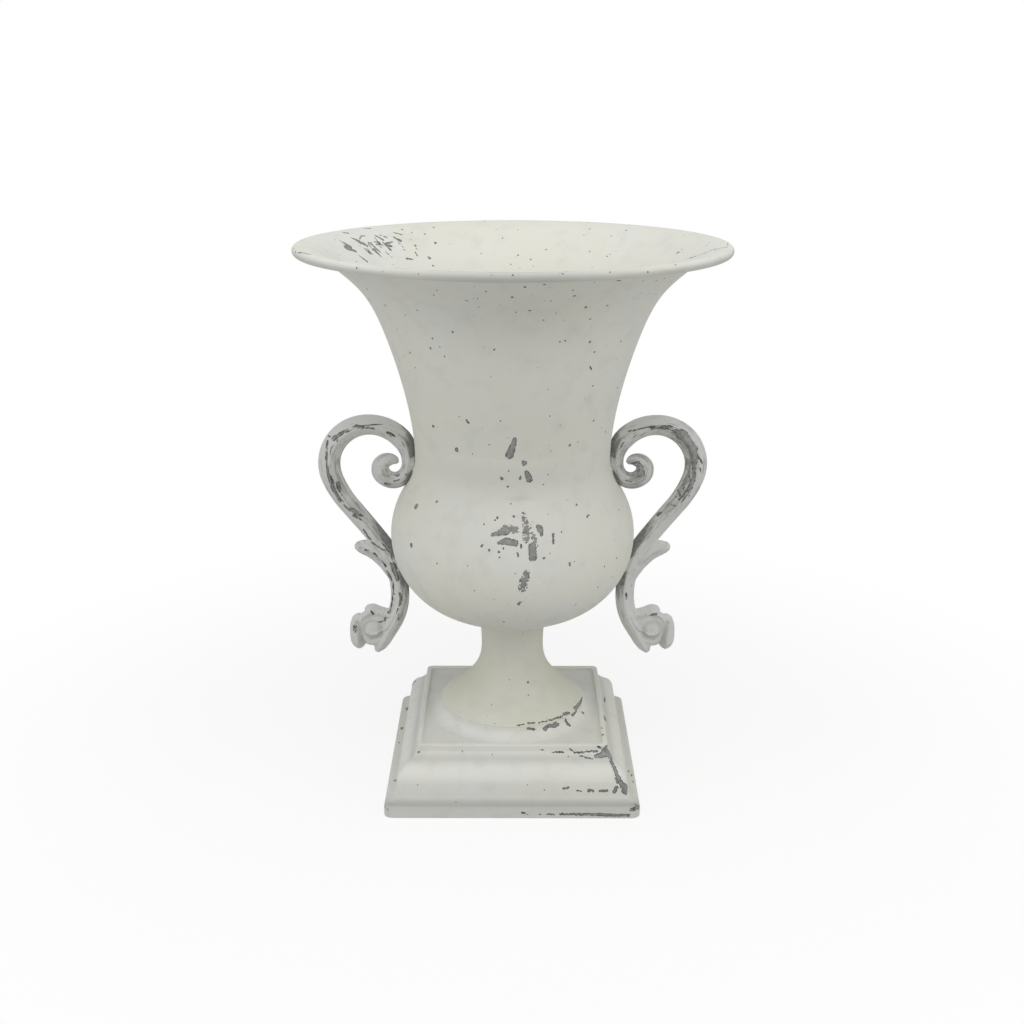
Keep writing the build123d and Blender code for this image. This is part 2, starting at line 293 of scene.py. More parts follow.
def dress(item: Item, material: Material, nodes: tuple[str, ...]) -> None:
    """Gives a piece its finish, its body and the solids that it stands for.

    Args:
        item: The piece.
        material: Its finish.
        nodes: Names of the solids that it replaces.
    """
    item.data.materials.clear()
    item.data.materials.append(material)
    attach(item, "root")
    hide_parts(*nodes)
    LOG.info("%s: %d faces", item.name, len(item.data.polygons))


# Shader nodes


def linear(colour: str) -> tuple[float, float, float, float]:
    """Linear colour of an sRGB hex value.

    Args:
        colour: Value such as #DCDCD2.

    Returns:
        Red, green, blue and alpha.
    """
    values = [int(colour[i : i + 2], 16) / 255 for i in (1, 3, 5)]
    low = 0.04045
    red, green, blue = (v / 12.92 if v <= low else ((v + 0.055) / 1.055) ** 2.4 for v in values)
    return (red, green, blue, 1.0)


def cleared_tree(owner: Material | bpy.types.World) -> Tree:
    """Node tree of a material or world, emptied.

    Args:
        owner: The material or world.

    Returns:
        The tree.
    """
    owner.use_nodes = True
    owner.node_tree.nodes.clear()
    return owner.node_tree


def add(tree: Tree, kind: str, links: dict | None = None, **settings: object) -> bpy.types.Node:
    """Adds a node with its settings, and links or sets its inputs.

    Args:
        tree: Node tree to add to.
        kind: Blender's name for the kind of node.
        links: Inputs by name or number, each an output socket to link or a value to set.
        settings: The node's own properties.

    Returns:
        The new node.
    """
    node = tree.nodes.new(kind)
    for name, value in settings.items():
        setattr(node, name, value)
    for key, value in (links or {}).items():
        if isinstance(value, bpy.types.NodeSocket):
            tree.links.new(value, node.inputs[key])
        else:
            node.inputs[key].default_value = value
    return node


def maths(tree: Tree, operation: str, *values: Socket | float) -> Socket:
    """Result of a Math node on its values."""
    return add(tree, "ShaderNodeMath", dict(enumerate(values)), operation=operation).outputs[0]


def vector_maths(tree: Tree, operation: str, links: dict) -> Socket:
    """Result of a Vector Math node: a number or a vector, as the operation gives."""
    node = add(tree, "ShaderNodeVectorMath", links, operation=operation)
    return node.outputs["Value" if operation in NUMBER_RESULTS else "Vector"]


def ramp(
    tree: Tree, value: Socket, span: Pair, to: Pair = (0.0, 1.0), **settings: object
) -> Socket:
    """Value carried from one span to another and held at the ends.

    Args:
        tree: Node tree to add to.
        value: Number to carry over.
        span: Its first and last value.
        to: What these become.
        settings: The node's own properties.

    Returns:
        Socket of the result.
    """
    names = ("From Min", "From Max", "To Min", "To Max")
    links = {"Value": value} | dict(zip(names, (*span, *to)))
    return add(tree, "ShaderNodeMapRange", links, **settings).outputs[0]


def mix(tree: Tree, share: Socket, low: object, high: object) -> Socket:
    """Colour between low and high by a share."""
    links = {0: share, 6: low, 7: high}
    return add(tree, "ShaderNodeMix", links, data_type="RGBA", clamp_factor=True).outputs[2]


def noise(tree: Tree, point: Socket, size: float, detail: float, roughness: float = 0.6) -> Socket:
    """Cloudy noise with features of a size in the unit of its points."""
    links = {"Vector": point, "Scale": 1 / size, "Detail": detail, "Roughness": roughness}
    return add(tree, "ShaderNodeTexNoise", links).outputs[0]


def attribute(tree: Tree, name: str, output: str = "Fac") -> Socket:
    """Number, or vector, that a piece stores per vertex."""
    return add(tree, "ShaderNodeAttribute", attribute_name=name).outputs[output]


def seen(tree: Tree) -> Socket:
    """1 for what the camera sees straight or in a reflection, and 0 for other light."""
    path = add(tree, "ShaderNodeLightPath").outputs
    return maths(tree, "MAXIMUM", path["Is Camera Ray"], path["Is Glossy Ray"])


def end_surface(tree: Tree, links: dict) -> None:
    """Ends a material's nodes with a Principled shader that has these inputs."""
    shader = add(tree, "ShaderNodeBsdfPrincipled", links)
    add(tree, "ShaderNodeOutputMaterial", {"Surface": shader.outputs[0]})


# Finishes


@dataclass(frozen=True)
class Flake:
    """Place where a flake of paint is off: a round spot, or a tapered streak between two places.

    Its depth at a point is the half width there less the distance from the streak's middle line.
    A spot has no end, and counts as a streak of a hair's length.
    """

    start: tuple[float, ...]
    half: float
    end: tuple[float, ...] = ()
    half_end: float = 0.0
    spot_run: Triple = (0.0, 0.0, 0.001)

    def inputs(self) -> dict[str, object]:
        """Values for the flake group.

        Returns:
            Vectors by the name of the socket.
        """
        run = np.subtract(self.end, self.start) if self.end else np.array(self.spot_run)
        change = self.half_end - self.half if self.end else 0.0
        share = run / (run @ run)
        halves = (self.half, change, 0.0)
        return {"Start": self.start, "Run": run, "Share": share, "Halves": halves}


def flakes(*rows: tuple[float, ...]) -> tuple[Flake, ...]:
    """Flakes from rows of x, y, z and half width: once for a spot, twice for a streak's ends."""
    return tuple(Flake(row[:3], row[3], row[4:7], *row[7:]) for row in rows)


def flake_group() -> Tree:
    """Node group with a flake's depth, made at the first call.

    Depth is half width less distance, both at the nearest place of the streak.

    Returns:
        The node group.
    """
    name = "flake depth"
    if name in bpy.data.node_groups:
        return bpy.data.node_groups[name]
    group = bpy.data.node_groups.new(name, "ShaderNodeTree")
    for label in ("Point", "Start", "Run", "Share", "Halves"):
        group.interface.new_socket(name=label, in_out="INPUT", socket_type="NodeSocketVector")
    group.interface.new_socket(name="Depth", in_out="OUTPUT", socket_type="NodeSocketFloat")
    given = add(group, "NodeGroupInput").outputs
    away = vector_maths(group, "SUBTRACT", {0: given["Point"], 1: given["Start"]})
    share = vector_maths(group, "DOT_PRODUCT", {0: away, 1: given["Share"]})
    along = add(group, "ShaderNodeClamp", {"Value": share}).outputs[0]
    middle = vector_maths(group, "SCALE", {0: given["Run"], "Scale": along})
    apart = vector_maths(group, "DISTANCE", {0: away, 1: middle})
    halves = add(group, "ShaderNodeSeparateXYZ", {0: given["Halves"]}).outputs
    half = maths(group, "MULTIPLY_ADD", along, halves["Y"], halves["X"])
    add(group, "NodeGroupOutput", {"Depth": maths(group, "SUBTRACT", half, apart)})
    return group


@dataclass(frozen=True)
class DistressedPaint:
    """Matte chalky off-white paint, brushed on spun or cast metal and flaked back to it.

    The paint gives a soft, almost shineless white with faint warm and cool clouds, pale smudges
    and a fine grain, and turns to a darker grey where a piece paints shade into it. Flakes show the
    metal as dull mid grey inside a thin dark line, a painted shadow of the paint's broken edge,
    which the dark specks share. Sizes of patterns end in mm, and spans are values of their noise.
    """

    name: str
    paint: str = "#E4E4DF"
    warm: str = "#E3E3D8"
    smudge: str = "#CBCCC6"
    # Darker grey of painted shade, laid on by the pieces' stored shade share.
    grime: str = "#B2B3AE"
    metal: str = "#9C9C99"
    dull_metal: str = "#7E7E7C"
    # Dark grey of the painted shadow line at broken paint edges, also used for the dark specks.
    edge_shadow_and_speck: str = "#4A4A48"
    paint_roughness: float = 0.82
    metal_roughness: float = 0.55
    metallic: float = 0.3
    shine: float = 0.25
    cloud_mm: float = 60.0
    cloud_span: Pair = (0.38, 0.62)
    smudge_mm: float = 12.0
    smudge_span: Pair = (0.5, 0.75)
    smudge_share: float = 0.35
    patina_mm: float = 2.0
    patina_span: Pair = (0.35, 0.65)
    grain_mm: float = 0.9
    grain_share: float = 0.3
    bump_strength: float = 0.35
    bump_mm: float = 0.25
    flake_mm: float = 3.0
    flake_span: Pair = (0.25, 0.75)
    streak_span: Pair = (0.35, 0.65)
    streak_share: float = 0.3
    bare_span: Pair = (0.3, 0.8)
    rub_edge: float = 0.05
    ragged_mm: float = 1.6
    ragged_reach: float = 1.5
    ragged_roughness: float = 0.65
    edge_mm: float = 0.3
    edge_soft_mm: float = 0.2
    edge_share: float = 0.05
    # Flake depths over which the painted shadow line at the edge fades in.
    edge_shadow_span_mm: Pair = (-0.04, 0.1)
    bite_mm: float = 1.2
    bite_span: Pair = (0.5, 0.68)
    bite_depth: float = 0.7
    crumb_mm: float = 1.3
    crumb_span: Pair = (0.5, 0.66)
    crumb_depth: float = 2.5
    speck_mm: float = 4.2
    speck_size: float = 0.19
    speck_rarity: float = 3.0
    speck_dark: float = 0.75
    drawn_specks: bool = False
    flakes: tuple[Flake, ...] = ()
    crumbs: tuple[Flake, ...] = ()

    def build(self) -> Material:
        """Makes the material from Object coordinates in millimetres and the pieces' attributes.

        Returns:
            The new material.
        """
        material = bpy.data.materials.new(self.name)
        tree = cleared_tree(material)
        place = add(tree, "ShaderNodeTexCoord").outputs["Object"]
        point = vector_maths(tree, "SCALE", {0: place, "Scale": 1 / MM})
        broken, gone = self._gone(tree, point)
        tint = ramp(tree, noise(tree, point, self.cloud_mm, detail=3.0), self.cloud_span)
        paint = mix(tree, tint, linear(self.paint), linear(self.warm))
        stain = noise(tree, point, self.smudge_mm, detail=5.0)
        stain = ramp(tree, stain, self.smudge_span, (0.0, self.smudge_share))
        paint = mix(tree, stain, paint, linear(self.smudge))
        # Painted shade: the paint darkens towards a grey where a piece stores a shade share.
        paint = mix(tree, attribute(tree, "grime"), paint, linear(self.grime))
        patina = noise(tree, point, self.patina_mm, detail=5.0)
        patina = ramp(tree, patina, self.patina_span)
        metal = mix(tree, patina, linear(self.dull_metal), linear(self.metal))
        # Painted shadow: the dark line at the paint's broken edges, with the dark specks.
        colour = mix(tree, broken, paint, linear(self.edge_shadow_and_speck))
        colour = mix(tree, gone, colour, metal)
        roughness = (self.paint_roughness, self.metal_roughness)
        grain = noise(tree, point, self.grain_mm, detail=2.0)
        grain = maths(tree, "MULTIPLY", grain, self.grain_share)
        height = maths(tree, "SUBTRACT", grain, broken)
        relief = {"Height": height, "Strength": self.bump_strength, "Distance": self.bump_mm * MM}
        links = {
            "Base Color": colour,
            "Roughness": ramp(tree, gone, (0.0, 1.0), roughness),
            "Metallic": maths(tree, "MULTIPLY", gone, self.metallic),
            "Specular IOR Level": self.shine,
            "Normal": add(tree, "ShaderNodeBump", relief).outputs[0],
        }
        end_surface(tree, links)
        return material

    def _gone(self, tree: Tree, point: Socket) -> tuple[Socket, Socket]:
        """Where paint has broken away, with a painted shadow line at its edge, and, within that,
        where bare metal shows.

        Rubbed places, bare faces, specks and flakes each give a share from 0 to 1, and the most
        counts.

        Args:
            tree: The material's node tree.
            point: Place on the surface in millimetres.

        Returns:
            Socket of broken paint, whose outer edge is the dark line, and socket of bare metal.
        """
        grain = attribute(tree, "grain", "Vector")
        pattern = noise(tree, grain, self.flake_mm, detail=6.0)
        spread = ramp(tree, pattern, self.flake_span)
        surplus = maths(tree, "SUBTRACT", attribute(tree, "wear"), spread)
        # Rubbed places get the painted shadow line at their edge as well.
        broken = ramp(tree, surplus, (0.0, self.rub_edge))
        gone = ramp(tree, surplus, (self.edge_share, self.edge_share + self.rub_edge))
        streak = ramp(tree, pattern, self.streak_span, (-self.streak_share, self.streak_share))
        rubbed = maths(tree, "ADD", attribute(tree, "bare"), streak)
        gone = maths(tree, "MAXIMUM", gone, ramp(tree, rubbed, self.bare_span))
        links = {"Vector": grain if self.drawn_specks else point, "Scale": 1 / self.speck_mm}
        cells = add(tree, "ShaderNodeTexVoronoi", links).outputs
        luck = maths(tree, "POWER", cells["Color"], self.speck_rarity)
        size = maths(tree, "MULTIPLY", luck, self.speck_size)
        speck = maths(tree, "LESS_THAN", cells["Distance"], size)
        speck = maths(tree, "MULTIPLY", speck, self.speck_dark)
        broken = maths(tree, "MAXIMUM", broken, speck)
        depth = self._flaked(tree, point, grain)
        # Painted shadow: a dark ring just inside each flake's edge, before the bare metal.
        broken = maths(tree, "MAXIMUM", broken, ramp(tree, depth, self.edge_shadow_span_mm))
        bed = ramp(tree, depth, (self.edge_mm, self.edge_mm + self.edge_soft_mm))
        return broken, maths(tree, "MAXIMUM", gone, bed)

    def _flaked(self, tree: Tree, point: Socket, grain: Socket) -> Socket:
        """Depth inside the flakes in millimetres, with edges made ragged by noise-shifted places.

        The noise is drawn out along the piece's grain, and takes bites from the depth, so streaks
        break up. Crumbs are flakes whose bed still holds grains of paint, so more noise is taken
        from theirs.

        Args:
            tree: The material's node tree.
            point: Place on the surface in millimetres.
            grain: The same, drawn out along the grain.

        Returns:
            Socket of the depth.
        """
        links = {"Vector": grain, "Scale": 1 / self.ragged_mm}
        links |= {"Detail": 4.0, "Roughness": self.ragged_roughness}
        shift = add(tree, "ShaderNodeTexNoise", links).outputs["Color"]
        centred = vector_maths(tree, "SUBTRACT", {0: shift, 1: (0.5, 0.5, 0.5)})
        ragged = vector_maths(tree, "SCALE", {0: centred, "Scale": self.ragged_reach})
        moved = vector_maths(tree, "ADD", {0: point, 1: ragged})
        depth = self._deepest(tree, moved, self.flakes)
        if self.crumbs:
            held = noise(tree, point, self.crumb_mm, detail=3.0)
            held = ramp(tree, held, self.crumb_span, (0.0, self.crumb_depth))
            left = maths(tree, "SUBTRACT", self._deepest(tree, moved, self.crumbs), held)
            depth = maths(tree, "MAXIMUM", depth, left)
        bites = noise(tree, grain, self.bite_mm, detail=4.0)
        bites = ramp(tree, bites, self.bite_span, (0.0, self.bite_depth))
        return maths(tree, "SUBTRACT", depth, bites)

    @staticmethod
    def _deepest(tree: Tree, point: Socket, places: tuple[Flake, ...]) -> Socket:
        """Largest depth of flakes at a point.

        Args:
            tree: The material's node tree.
            point: Place on the surface in millimetres.
            places: The flakes, at least one.

        Returns:
            Socket of the depth.
        """
        group = flake_group()
        depths = []
        for place in places:
            links = {"Point": point} | place.inputs()
            depths.append(add(tree, "ShaderNodeGroup", links, node_tree=group).outputs["Depth"])
        deepest = depths[0]
        for depth in depths[1:]:
            deepest = maths(tree, "MAXIMUM", deepest, depth)
        return deepest


@dataclass(frozen=True)
class ZincPlatedSteel:
    """Turned and plated fastener steel: grey, a little cloudy, with a satin shine."""

    name: str = "zinc_plated_steel"
    light: str = "#B9BABB"
    dull: str = "#8F9194"
    cloud_mm: float = 2.5
    roughness: Pair = (0.28, 0.5)

    def build(self) -> Material:
        """Makes the material from Object coordinates.

        Returns:
            The new material.
        """
        material = bpy.data.materials.new(self.name)
        tree = cleared_tree(material)
        place = add(tree, "ShaderNodeTexCoord").outputs["Object"]
        cloud = noise(tree, place, self.cloud_mm * MM, detail=4.0, roughness=0.5)
        colour = mix(tree, cloud, linear(self.dull), linear(self.light))
        roughness = ramp(tree, cloud, (0.0, 1.0), self.roughness)
        end_surface(tree, {"Base Color": colour, "Roughness": roughness, "Metallic": 1.0})
        return material


@dataclass(frozen=True)
class MouldedRubber:
    """Moulded black rubber: dull, with a fine dusty bloom."""

    name: str = "moulded_rubber"
    black: str = "#262626"
    bloom: str = "#3A3A38"
    bloom_mm: float = 1.5
    roughness: float = 0.8
    bump_strength: float = 0.2
    bump_mm: float = 0.1

    def build(self) -> Material:
        """Makes the material from Object coordinates.

        Returns:
            The new material.
        """
        material = bpy.data.materials.new(self.name)
        tree = cleared_tree(material)
        place = add(tree, "ShaderNodeTexCoord").outputs["Object"]
        cloud = noise(tree, place, self.bloom_mm * MM, detail=5.0, roughness=0.5)
        colour = mix(tree, cloud, linear(self.black), linear(self.bloom))
        links = {"Height": cloud, "Strength": self.bump_strength, "Distance": self.bump_mm * MM}
        bump = add(tree, "ShaderNodeBump", links).outputs[0]
        end_surface(tree, {"Base Color": colour, "Roughness": self.roughness, "Normal": bump})
        return material


# Pieces


@dataclass(frozen=True)
class SpunBody:
    """Bowl and trumpet neck, spun from sheet, which meet at a seam above the waist."""

    bolt_hole: float = 3.25
    floor_radius: float = 18.9
    floor_height: float = 90.5
    belly_radius: float = 67.5
    belly_height: float = 140.6
    belly_arc: float = 46.8
    belly_turn: float = 62.0
    waist_radius: float = 53.4
    waist_height: float = 185.0
    seam_height: float = 197.0
    spigot_length: float = 6.0
    joggle_length: float = 5.0
    joint_gap: float = 0.05
    rim_radius: float = 114.48
    rim_height: float = 300.0
    bead: float = 2.3
    bead_turn: float = 235.0
    sheet: float = 1.2
    neck_shape: Rows = ((0.076, 0.30), (0.236, 0.58), (0.447, 0.80), (0.665, 0.91))
    dent_place: Pair = (3.5, 176.5)
    dent_reach: Pair = (8.0, 2.4)
    dent_depth: float = 0.8
    grain_radius: float = 0.9
    sharp: float = 40.0
    columns: int = 288

    def bowl_skin(self) -> Array:
        """Outer line of the bowl: arcs off the floor, round the belly and hollow up to the waist.

        Returns:
            Radii and heights of shape (n, 2), upwards.
        """
        centre = np.array((self.belly_radius - self.belly_arc, self.belly_height))
        rise = self.waist_height - self.belly_height
        reach = self.waist_radius - centre[0]
        hollow = (reach**2 + rise**2 - self.belly_arc**2) / (2 * (self.belly_arc - reach))
        turn = math.degrees(math.atan2(rise, reach + hollow))
        start = arc(centre, self.belly_arc, -self.belly_turn, -self.belly_turn, count=1)[0]
        normal = (centre - start) / np.linalg.norm(centre - start)
        chord = np.array((self.floor_radius, self.floor_height)) - start
        low_arc = float(chord @ chord / (2 * normal @ chord))
        low = start + normal * low_arc
        low_turn = math.atan2(low[1] - self.floor_height, self.floor_radius - low[0])
        waist = (self.waist_radius + hollow, self.waist_height)
        return joined(
            arc(low, low_arc, -math.degrees(low_turn), -self.belly_turn, count=20),
            arc(centre, self.belly_arc, -self.belly_turn, turn, count=48),
            arc(waist, hollow, 180 + turn, 180, count=20),
        )

    def throat(self) -> Array:
        """Outer line of the neck: a spline from the waist to the flat flange under the rim.

        Returns:
            Radii and heights of shape (n, 2), upwards.
        """
        flange = np.array((self.rim_radius - self.bead, self.rim_height - self.sheet))
        waist = np.array((self.waist_radius, self.waist_height))
        middle = waist + np.asarray(self.neck_shape) * (flange - waist)
        return clamped_spline(np.vstack((waist, middle, flange)), (0, 1), (1, 0))

    def skin(self) -> Array:
        """Whole outer line from the floor to the flange."""
        return joined(self.bowl_skin(), self.throat())

    def _parted_throat(self) -> tuple[Array, Array]:
        """The throat's line in two at the seam.

        Returns:
            The lines below and above, which both end on the seam.
        """
        line = self.throat()
        seam = [(float(np.interp(self.seam_height, line[:, 1], line[:, 0])), self.seam_height)]
        below = line[:, 1] < self.seam_height
        return joined(line[below], seam), joined(seam, line[~below])

    def bowl_line(self) -> Array:
        """Closed drawing of the bowl's wall.

        Returns:
            Radii and heights of shape (n, 2).
        """
        outer = joined(self.bowl_skin(), self._parted_throat()[0])
        inner = beside(outer, self.sheet)[::-1]
        inner = np.column_stack((inner[:, 0], np.minimum(inner[:, 1], self.seam_height)))
        low, high = self.floor_height, self.floor_height + self.sheet
        return joined([(self.bolt_hole, low)], outer, inner, [(self.bolt_hole, high)])

    def neck_line(self) -> Array:
        """Closed drawing of the neck's wall: skin, rolled bead, inner skin and the spigot.

        Returns:
            Radii and heights of shape (n, 2).
        """
        outer = self._parted_throat()[1]
        centre = (self.rim_radius - self.bead, self.rim_height - self.bead)
        inner = beside(outer, self.sheet)[::-1]
        inner = inner[inner[:, 1] > self.seam_height + self.joggle_length]
        spigot = self.waist_radius - self.sheet - self.joint_gap
        low = self.seam_height - self.spigot_length
        return joined(
            outer,
            arc(centre, self.bead - self.sheet, 90, 90 - self.bead_turn, count=20),
            arc(centre, self.bead, 90 - self.bead_turn, 90, count=28),
            inner,
            [(spigot - self.sheet, self.seam_height), (spigot - self.sheet, low)],
            [(spigot, low), (spigot, self.seam_height)],
        )

    def turned(self, name: str, line: Array, rubs: Zones, grime: Zones, draw: float = 1.0) -> Item:
        """Surface of revolution: (r cos a, r sin a, z) for each point of the line and angle a.

        A shallow dent in the front moves points towards the axis.

        Args:
            name: Name of the piece.
            line: Closed drawing of radius and height.
            rubs: Places where paint is rubbed away.
            grime: Places where shade is painted in as darker paint.
            draw: Below 1, flakes are drawn out along the drawing.

        Returns:
            The new object.
        """
        angle = np.linspace(0, 2 * np.pi, self.columns, endpoint=False)
        radius, height = line[:, :1], line[:, 1:]
        x, y = radius * np.cos(angle), radius * np.sin(angle)
        z = np.broadcast_to(height, x.shape)
        near = ((x - self.dent_place[0]) / self.dent_reach[0]) ** 2
        near = near + ((z - self.dent_place[1]) / self.dent_reach[1]) ** 2
        dent = np.where(y < 0, self.dent_depth * np.exp(-near), 0.0)
        shrink = 1 - dent / np.maximum(np.hypot(x, y), 1.0)
        points = np.stack((x * shrink, y * shrink, z), axis=-1).reshape(-1, 3)
        item = mesh_object(name, points, grid_quads(len(line), self.columns, True))
        grain = places = vertex_places(item.data)
        if draw < 1:
            out = np.hypot(places[:, 0], places[:, 1])
            around = np.arctan2(places[:, 0], -places[:, 1])
            around = self.grain_radius * self.rim_radius * around
            grain = np.column_stack((draw * out, around, draw * places[:, 2]))
        # Painted shade: darker paint by the shade zones, stored beside the wear.
        wear, shade_share = zone_shares(places, rubs), zone_shares(places, grime)
        write_attributes(item.data, wear=wear, grime=shade_share, grain=grain)
        finish_shading(item.data, self.sharp)
        return item


@dataclass(frozen=True)
class BellStem:
    """Spun stem with a bell foot that stands on the plinth's round seat."""

    bell_radius: float = 41.0
    seat_height: float = 39.7
    lip: float = 1.2
    lip_round: float = 0.5
    slim_radius: float = 17.5
    slim_height: float = 73.9
    top_radius: float = 18.9
    top_height: float = 90.5
    top_flare: Pair = (0.2, 1.0)
    slope: float = 52.0
    bell_draw: float = 20.0
    stem_draw: float = 14.0
    wall: float = 1.5
    bolt_hole: float = 3.25
    points: int = 40

    def line(self) -> Array:
        """Closed drawing of the stem: a Bezier bell, a spline shaft, a flat top and the inside.

        Returns:
            Radii and heights of shape (n, 2).
        """
        edge = np.array((self.bell_radius - self.lip_round, self.seat_height + self.lip))
        slope = math.radians(self.slope)
        pull = edge + self.bell_draw * np.array((-math.sin(slope), math.cos(slope)))
        slim = np.array((self.slim_radius, self.slim_height))
        push = slim - np.array((0.0, self.stem_draw))
        t = np.linspace(0, 1, self.points)[:, None]
        bezier = (1 - t) ** 3 * edge + 3 * t * (1 - t) ** 2 * pull
        bezier = bezier + 3 * t**2 * (1 - t) * push + t**3 * slim
        top = (self.top_radius, self.top_height)
        outer = joined(bezier, clamped_spline(np.vstack((slim, top)), (0, 1), self.top_flare))
        inner = beside(outer, self.wall)[::-1]
        ceiling = self.top_height - self.wall
        inner = inner[(inner[:, 1] < ceiling) & (inner[:, 1] > self.seat_height)]
        lip_top = self.seat_height + self.lip - self.lip_round
        return joined(
            [(self.bell_radius, self.seat_height), (self.bell_radius, lip_top)],
            outer,
            [(self.bolt_hole, self.top_height), (self.bolt_hole, ceiling)],
            [(float(inner[0, 0]), ceiling)],
            inner,
            [(float(inner[-1, 0]), self.seat_height)],
        )


@dataclass(frozen=True)
class SquarePlinth:
    """Square stepped plinth with a sunk, bordered top and a round seat for the bell."""

    lip_half: float = 69.5
    lip_height: float = 7.0
    lip_round: float = 1.8
    lip_corner: float = 4.5
    foot_round: float = 0.4
    ledge_half: float = 65.4
    ogee_half: float = 63.0
    ogee_base: float = 12.0
    ovolo_base: float = 17.0
    ovolo_half: float = 58.6
    cove_base: float = 24.6
    border_half: float = 52.3
    border_base: float = 31.3
    border_top: float = 35.2
    border_width: float = 2.8
    corner: float = 3.0
    tray_floor: float = 33.7
    edge_round: float = 0.7
    cavetto_bow: float = -0.16
    ovolo_bow: float = 0.13
    cove_bow: float = -0.05
    seat_radius: float = 41.0
    seat_cove: float = 6.5
    seat_edge: float = 0.8
    seat_upright: float = 1.4
    seat_top: float = 39.7
    wall: float = 2.0
    bolt_hole: float = 3.25
    side_points: int = 20
    corner_points: int = 24
    curve_points: int = 14
    sharp: float = 32.0

    def _curve(self, low: Pair, high: Pair, bow: float) -> Array:
        """Arc between two places.

        Args:
            low: Half width and height of the lower end.
            high: Those of the upper end.
            bow: Height of the arc as a share of its chord; a negative one is hollow.

        Returns:
            Half widths and heights of shape (n, 2).
        """
        half_turn = 2 * math.atan(2 * bow)
        angle = half_turn * np.linspace(-1, 1, self.curve_points)
        along = (1 + np.sin(angle) / math.sin(half_turn)) / 2
        out = (np.cos(angle) - math.cos(half_turn)) / (2 * math.sin(half_turn))
        step_in, step_up = high[0] - low[0], high[1] - low[1]
        half = low[0] + step_in * along + step_up * out
        return np.column_stack((half, low[1] + step_up * along - step_in * out))

    def line(self) -> tuple[Array, Array]:
        """Half widths and heights round the plinth's wall, and the corner radius at each.

        Returns:
            Closed drawing of shape (n, 2) and corner radii of shape (n,).
        """
        soft, top, wall = self.edge_round, self.lip_round, self.wall
        tray_half = self.border_half - self.border_width
        ledge, ogee = (self.ledge_half, self.lip_height), (self.ogee_half, self.ogee_base)
        ovolo, cove = (self.ogee_half, self.ovolo_base), (self.ovolo_half, self.cove_base)
        foot = self.foot_round
        lip = joined(
            arc((self.lip_half - foot, foot), foot, -90, 0, count=4),
            arc((self.lip_half - top, self.lip_height - top), top, 0, 90, count=8),
        )
        mouldings = joined(
            self._curve(ledge, (ogee[0], ogee[1] - soft), self.cavetto_bow),
            [ogee],
            self._curve(ovolo, cove, self.ovolo_bow),
            self._curve(cove, (self.border_half, self.border_base), self.cove_bow),
            arc((self.border_half - soft, self.border_top - soft), soft, 0, 90, count=5),
            arc((tray_half + soft, self.border_top - soft), soft, 90, 180, count=5),
            [(tray_half, self.tray_floor)],
        )
        upright = self.seat_top - self.seat_upright
        rise = upright - self.tray_floor
        turn = np.radians(np.linspace(270, 180, self.curve_points))
        start = self.seat_radius + self.seat_cove
        hollow = self.seat_radius - 2 * wall
        seat = joined(
            [(start + self.seat_edge, self.tray_floor)],
            np.column_stack((start + self.seat_cove * np.cos(turn), upright + rise * np.sin(turn))),
            [(self.seat_radius, self.seat_top), (self.bolt_hole, self.seat_top)],
            [(self.bolt_hole, self.seat_top - wall), (hollow, self.seat_top - wall)],
            [(hollow, self.tray_floor - wall)],
        )
        inside = np.array(
            (
                (self.border_half - wall, self.tray_floor - wall),
                (self.border_half - wall, self.border_base - wall),
                (self.ovolo_half - wall, self.cove_base - wall),
                (self.ogee_half - wall, self.ovolo_base),
                (self.ogee_half - wall, self.ogee_base - wall),
                (self.lip_half - wall, self.lip_height - wall),
                (self.lip_half - wall, 0.0),
            )
        )
        corners = [
            np.full(len(lip), self.lip_corner),
            np.full(len(mouldings), self.corner),
            seat[:, 0],
            np.full(len(inside), self.corner),
        ]
        return np.vstack((lip, mouldings, seat, inside)), np.concatenate(corners)

    def build(self, rubs: Zones, grime: Zones) -> Item:
        """Rounded squares stacked on the drawing: (half - corner) * post + corner * normal.

        Posts run round a square of half width 1, and normals turn at its corners. Where the corner
        radius equals the half width, the square is a circle, as at the seat.

        Args:
            rubs: Places where paint is rubbed away.
            grime: Places where shade is painted in as darker paint.

        Returns:
            The new object.
        """
        line, corner = self.line()
        quarter = np.arange(4)[:, None] * np.pi / 2
        bend = quarter + np.linspace(0, np.pi / 2, self.corner_points)[None, :]
        normal = np.stack((np.cos(bend), np.sin(bend)), axis=-1)
        diagonal = quarter + np.pi / 4
        post = np.sqrt(2) * np.stack((np.cos(diagonal), np.sin(diagonal)), axis=-1)
        turn_posts = np.broadcast_to(post, normal.shape)
        share = np.linspace(0, 1, self.side_points + 2)[1:-1][None, :, None]
        side_posts = post + share * (np.roll(post, -1, axis=0) - post)
        side_normal = np.broadcast_to(normal[:, -1:], side_posts.shape)
        posts = np.concatenate((turn_posts, side_posts), axis=1).reshape(-1, 2)
        normals = np.concatenate((normal, side_normal), axis=1).reshape(-1, 2)
        flat = (line[:, 0] - corner)[:, None, None] * posts + corner[:, None, None] * normals
        height = np.broadcast_to(line[:, 1][:, None, None], flat.shape[:2] + (1,))
        points = np.concatenate((flat, height), axis=-1).reshape(-1, 3)
        item = mesh_object("plinth_piece", points, grid_quads(len(line), len(posts), True))
        places = vertex_places(item.data)
        # Painted shade: darker paint by the shade zones, stored beside the wear.
        wear, shade_share = zone_shares(places, rubs), zone_shares(places, grime)
        write_attributes(item.data, wear=wear, grime=shade_share, grain=places)
        finish_shading(item.data, self.sharp)
        return item


class Side(Enum):
    """Side of the vase that a handle is on."""

    RIGHT = 1
    LEFT = -1


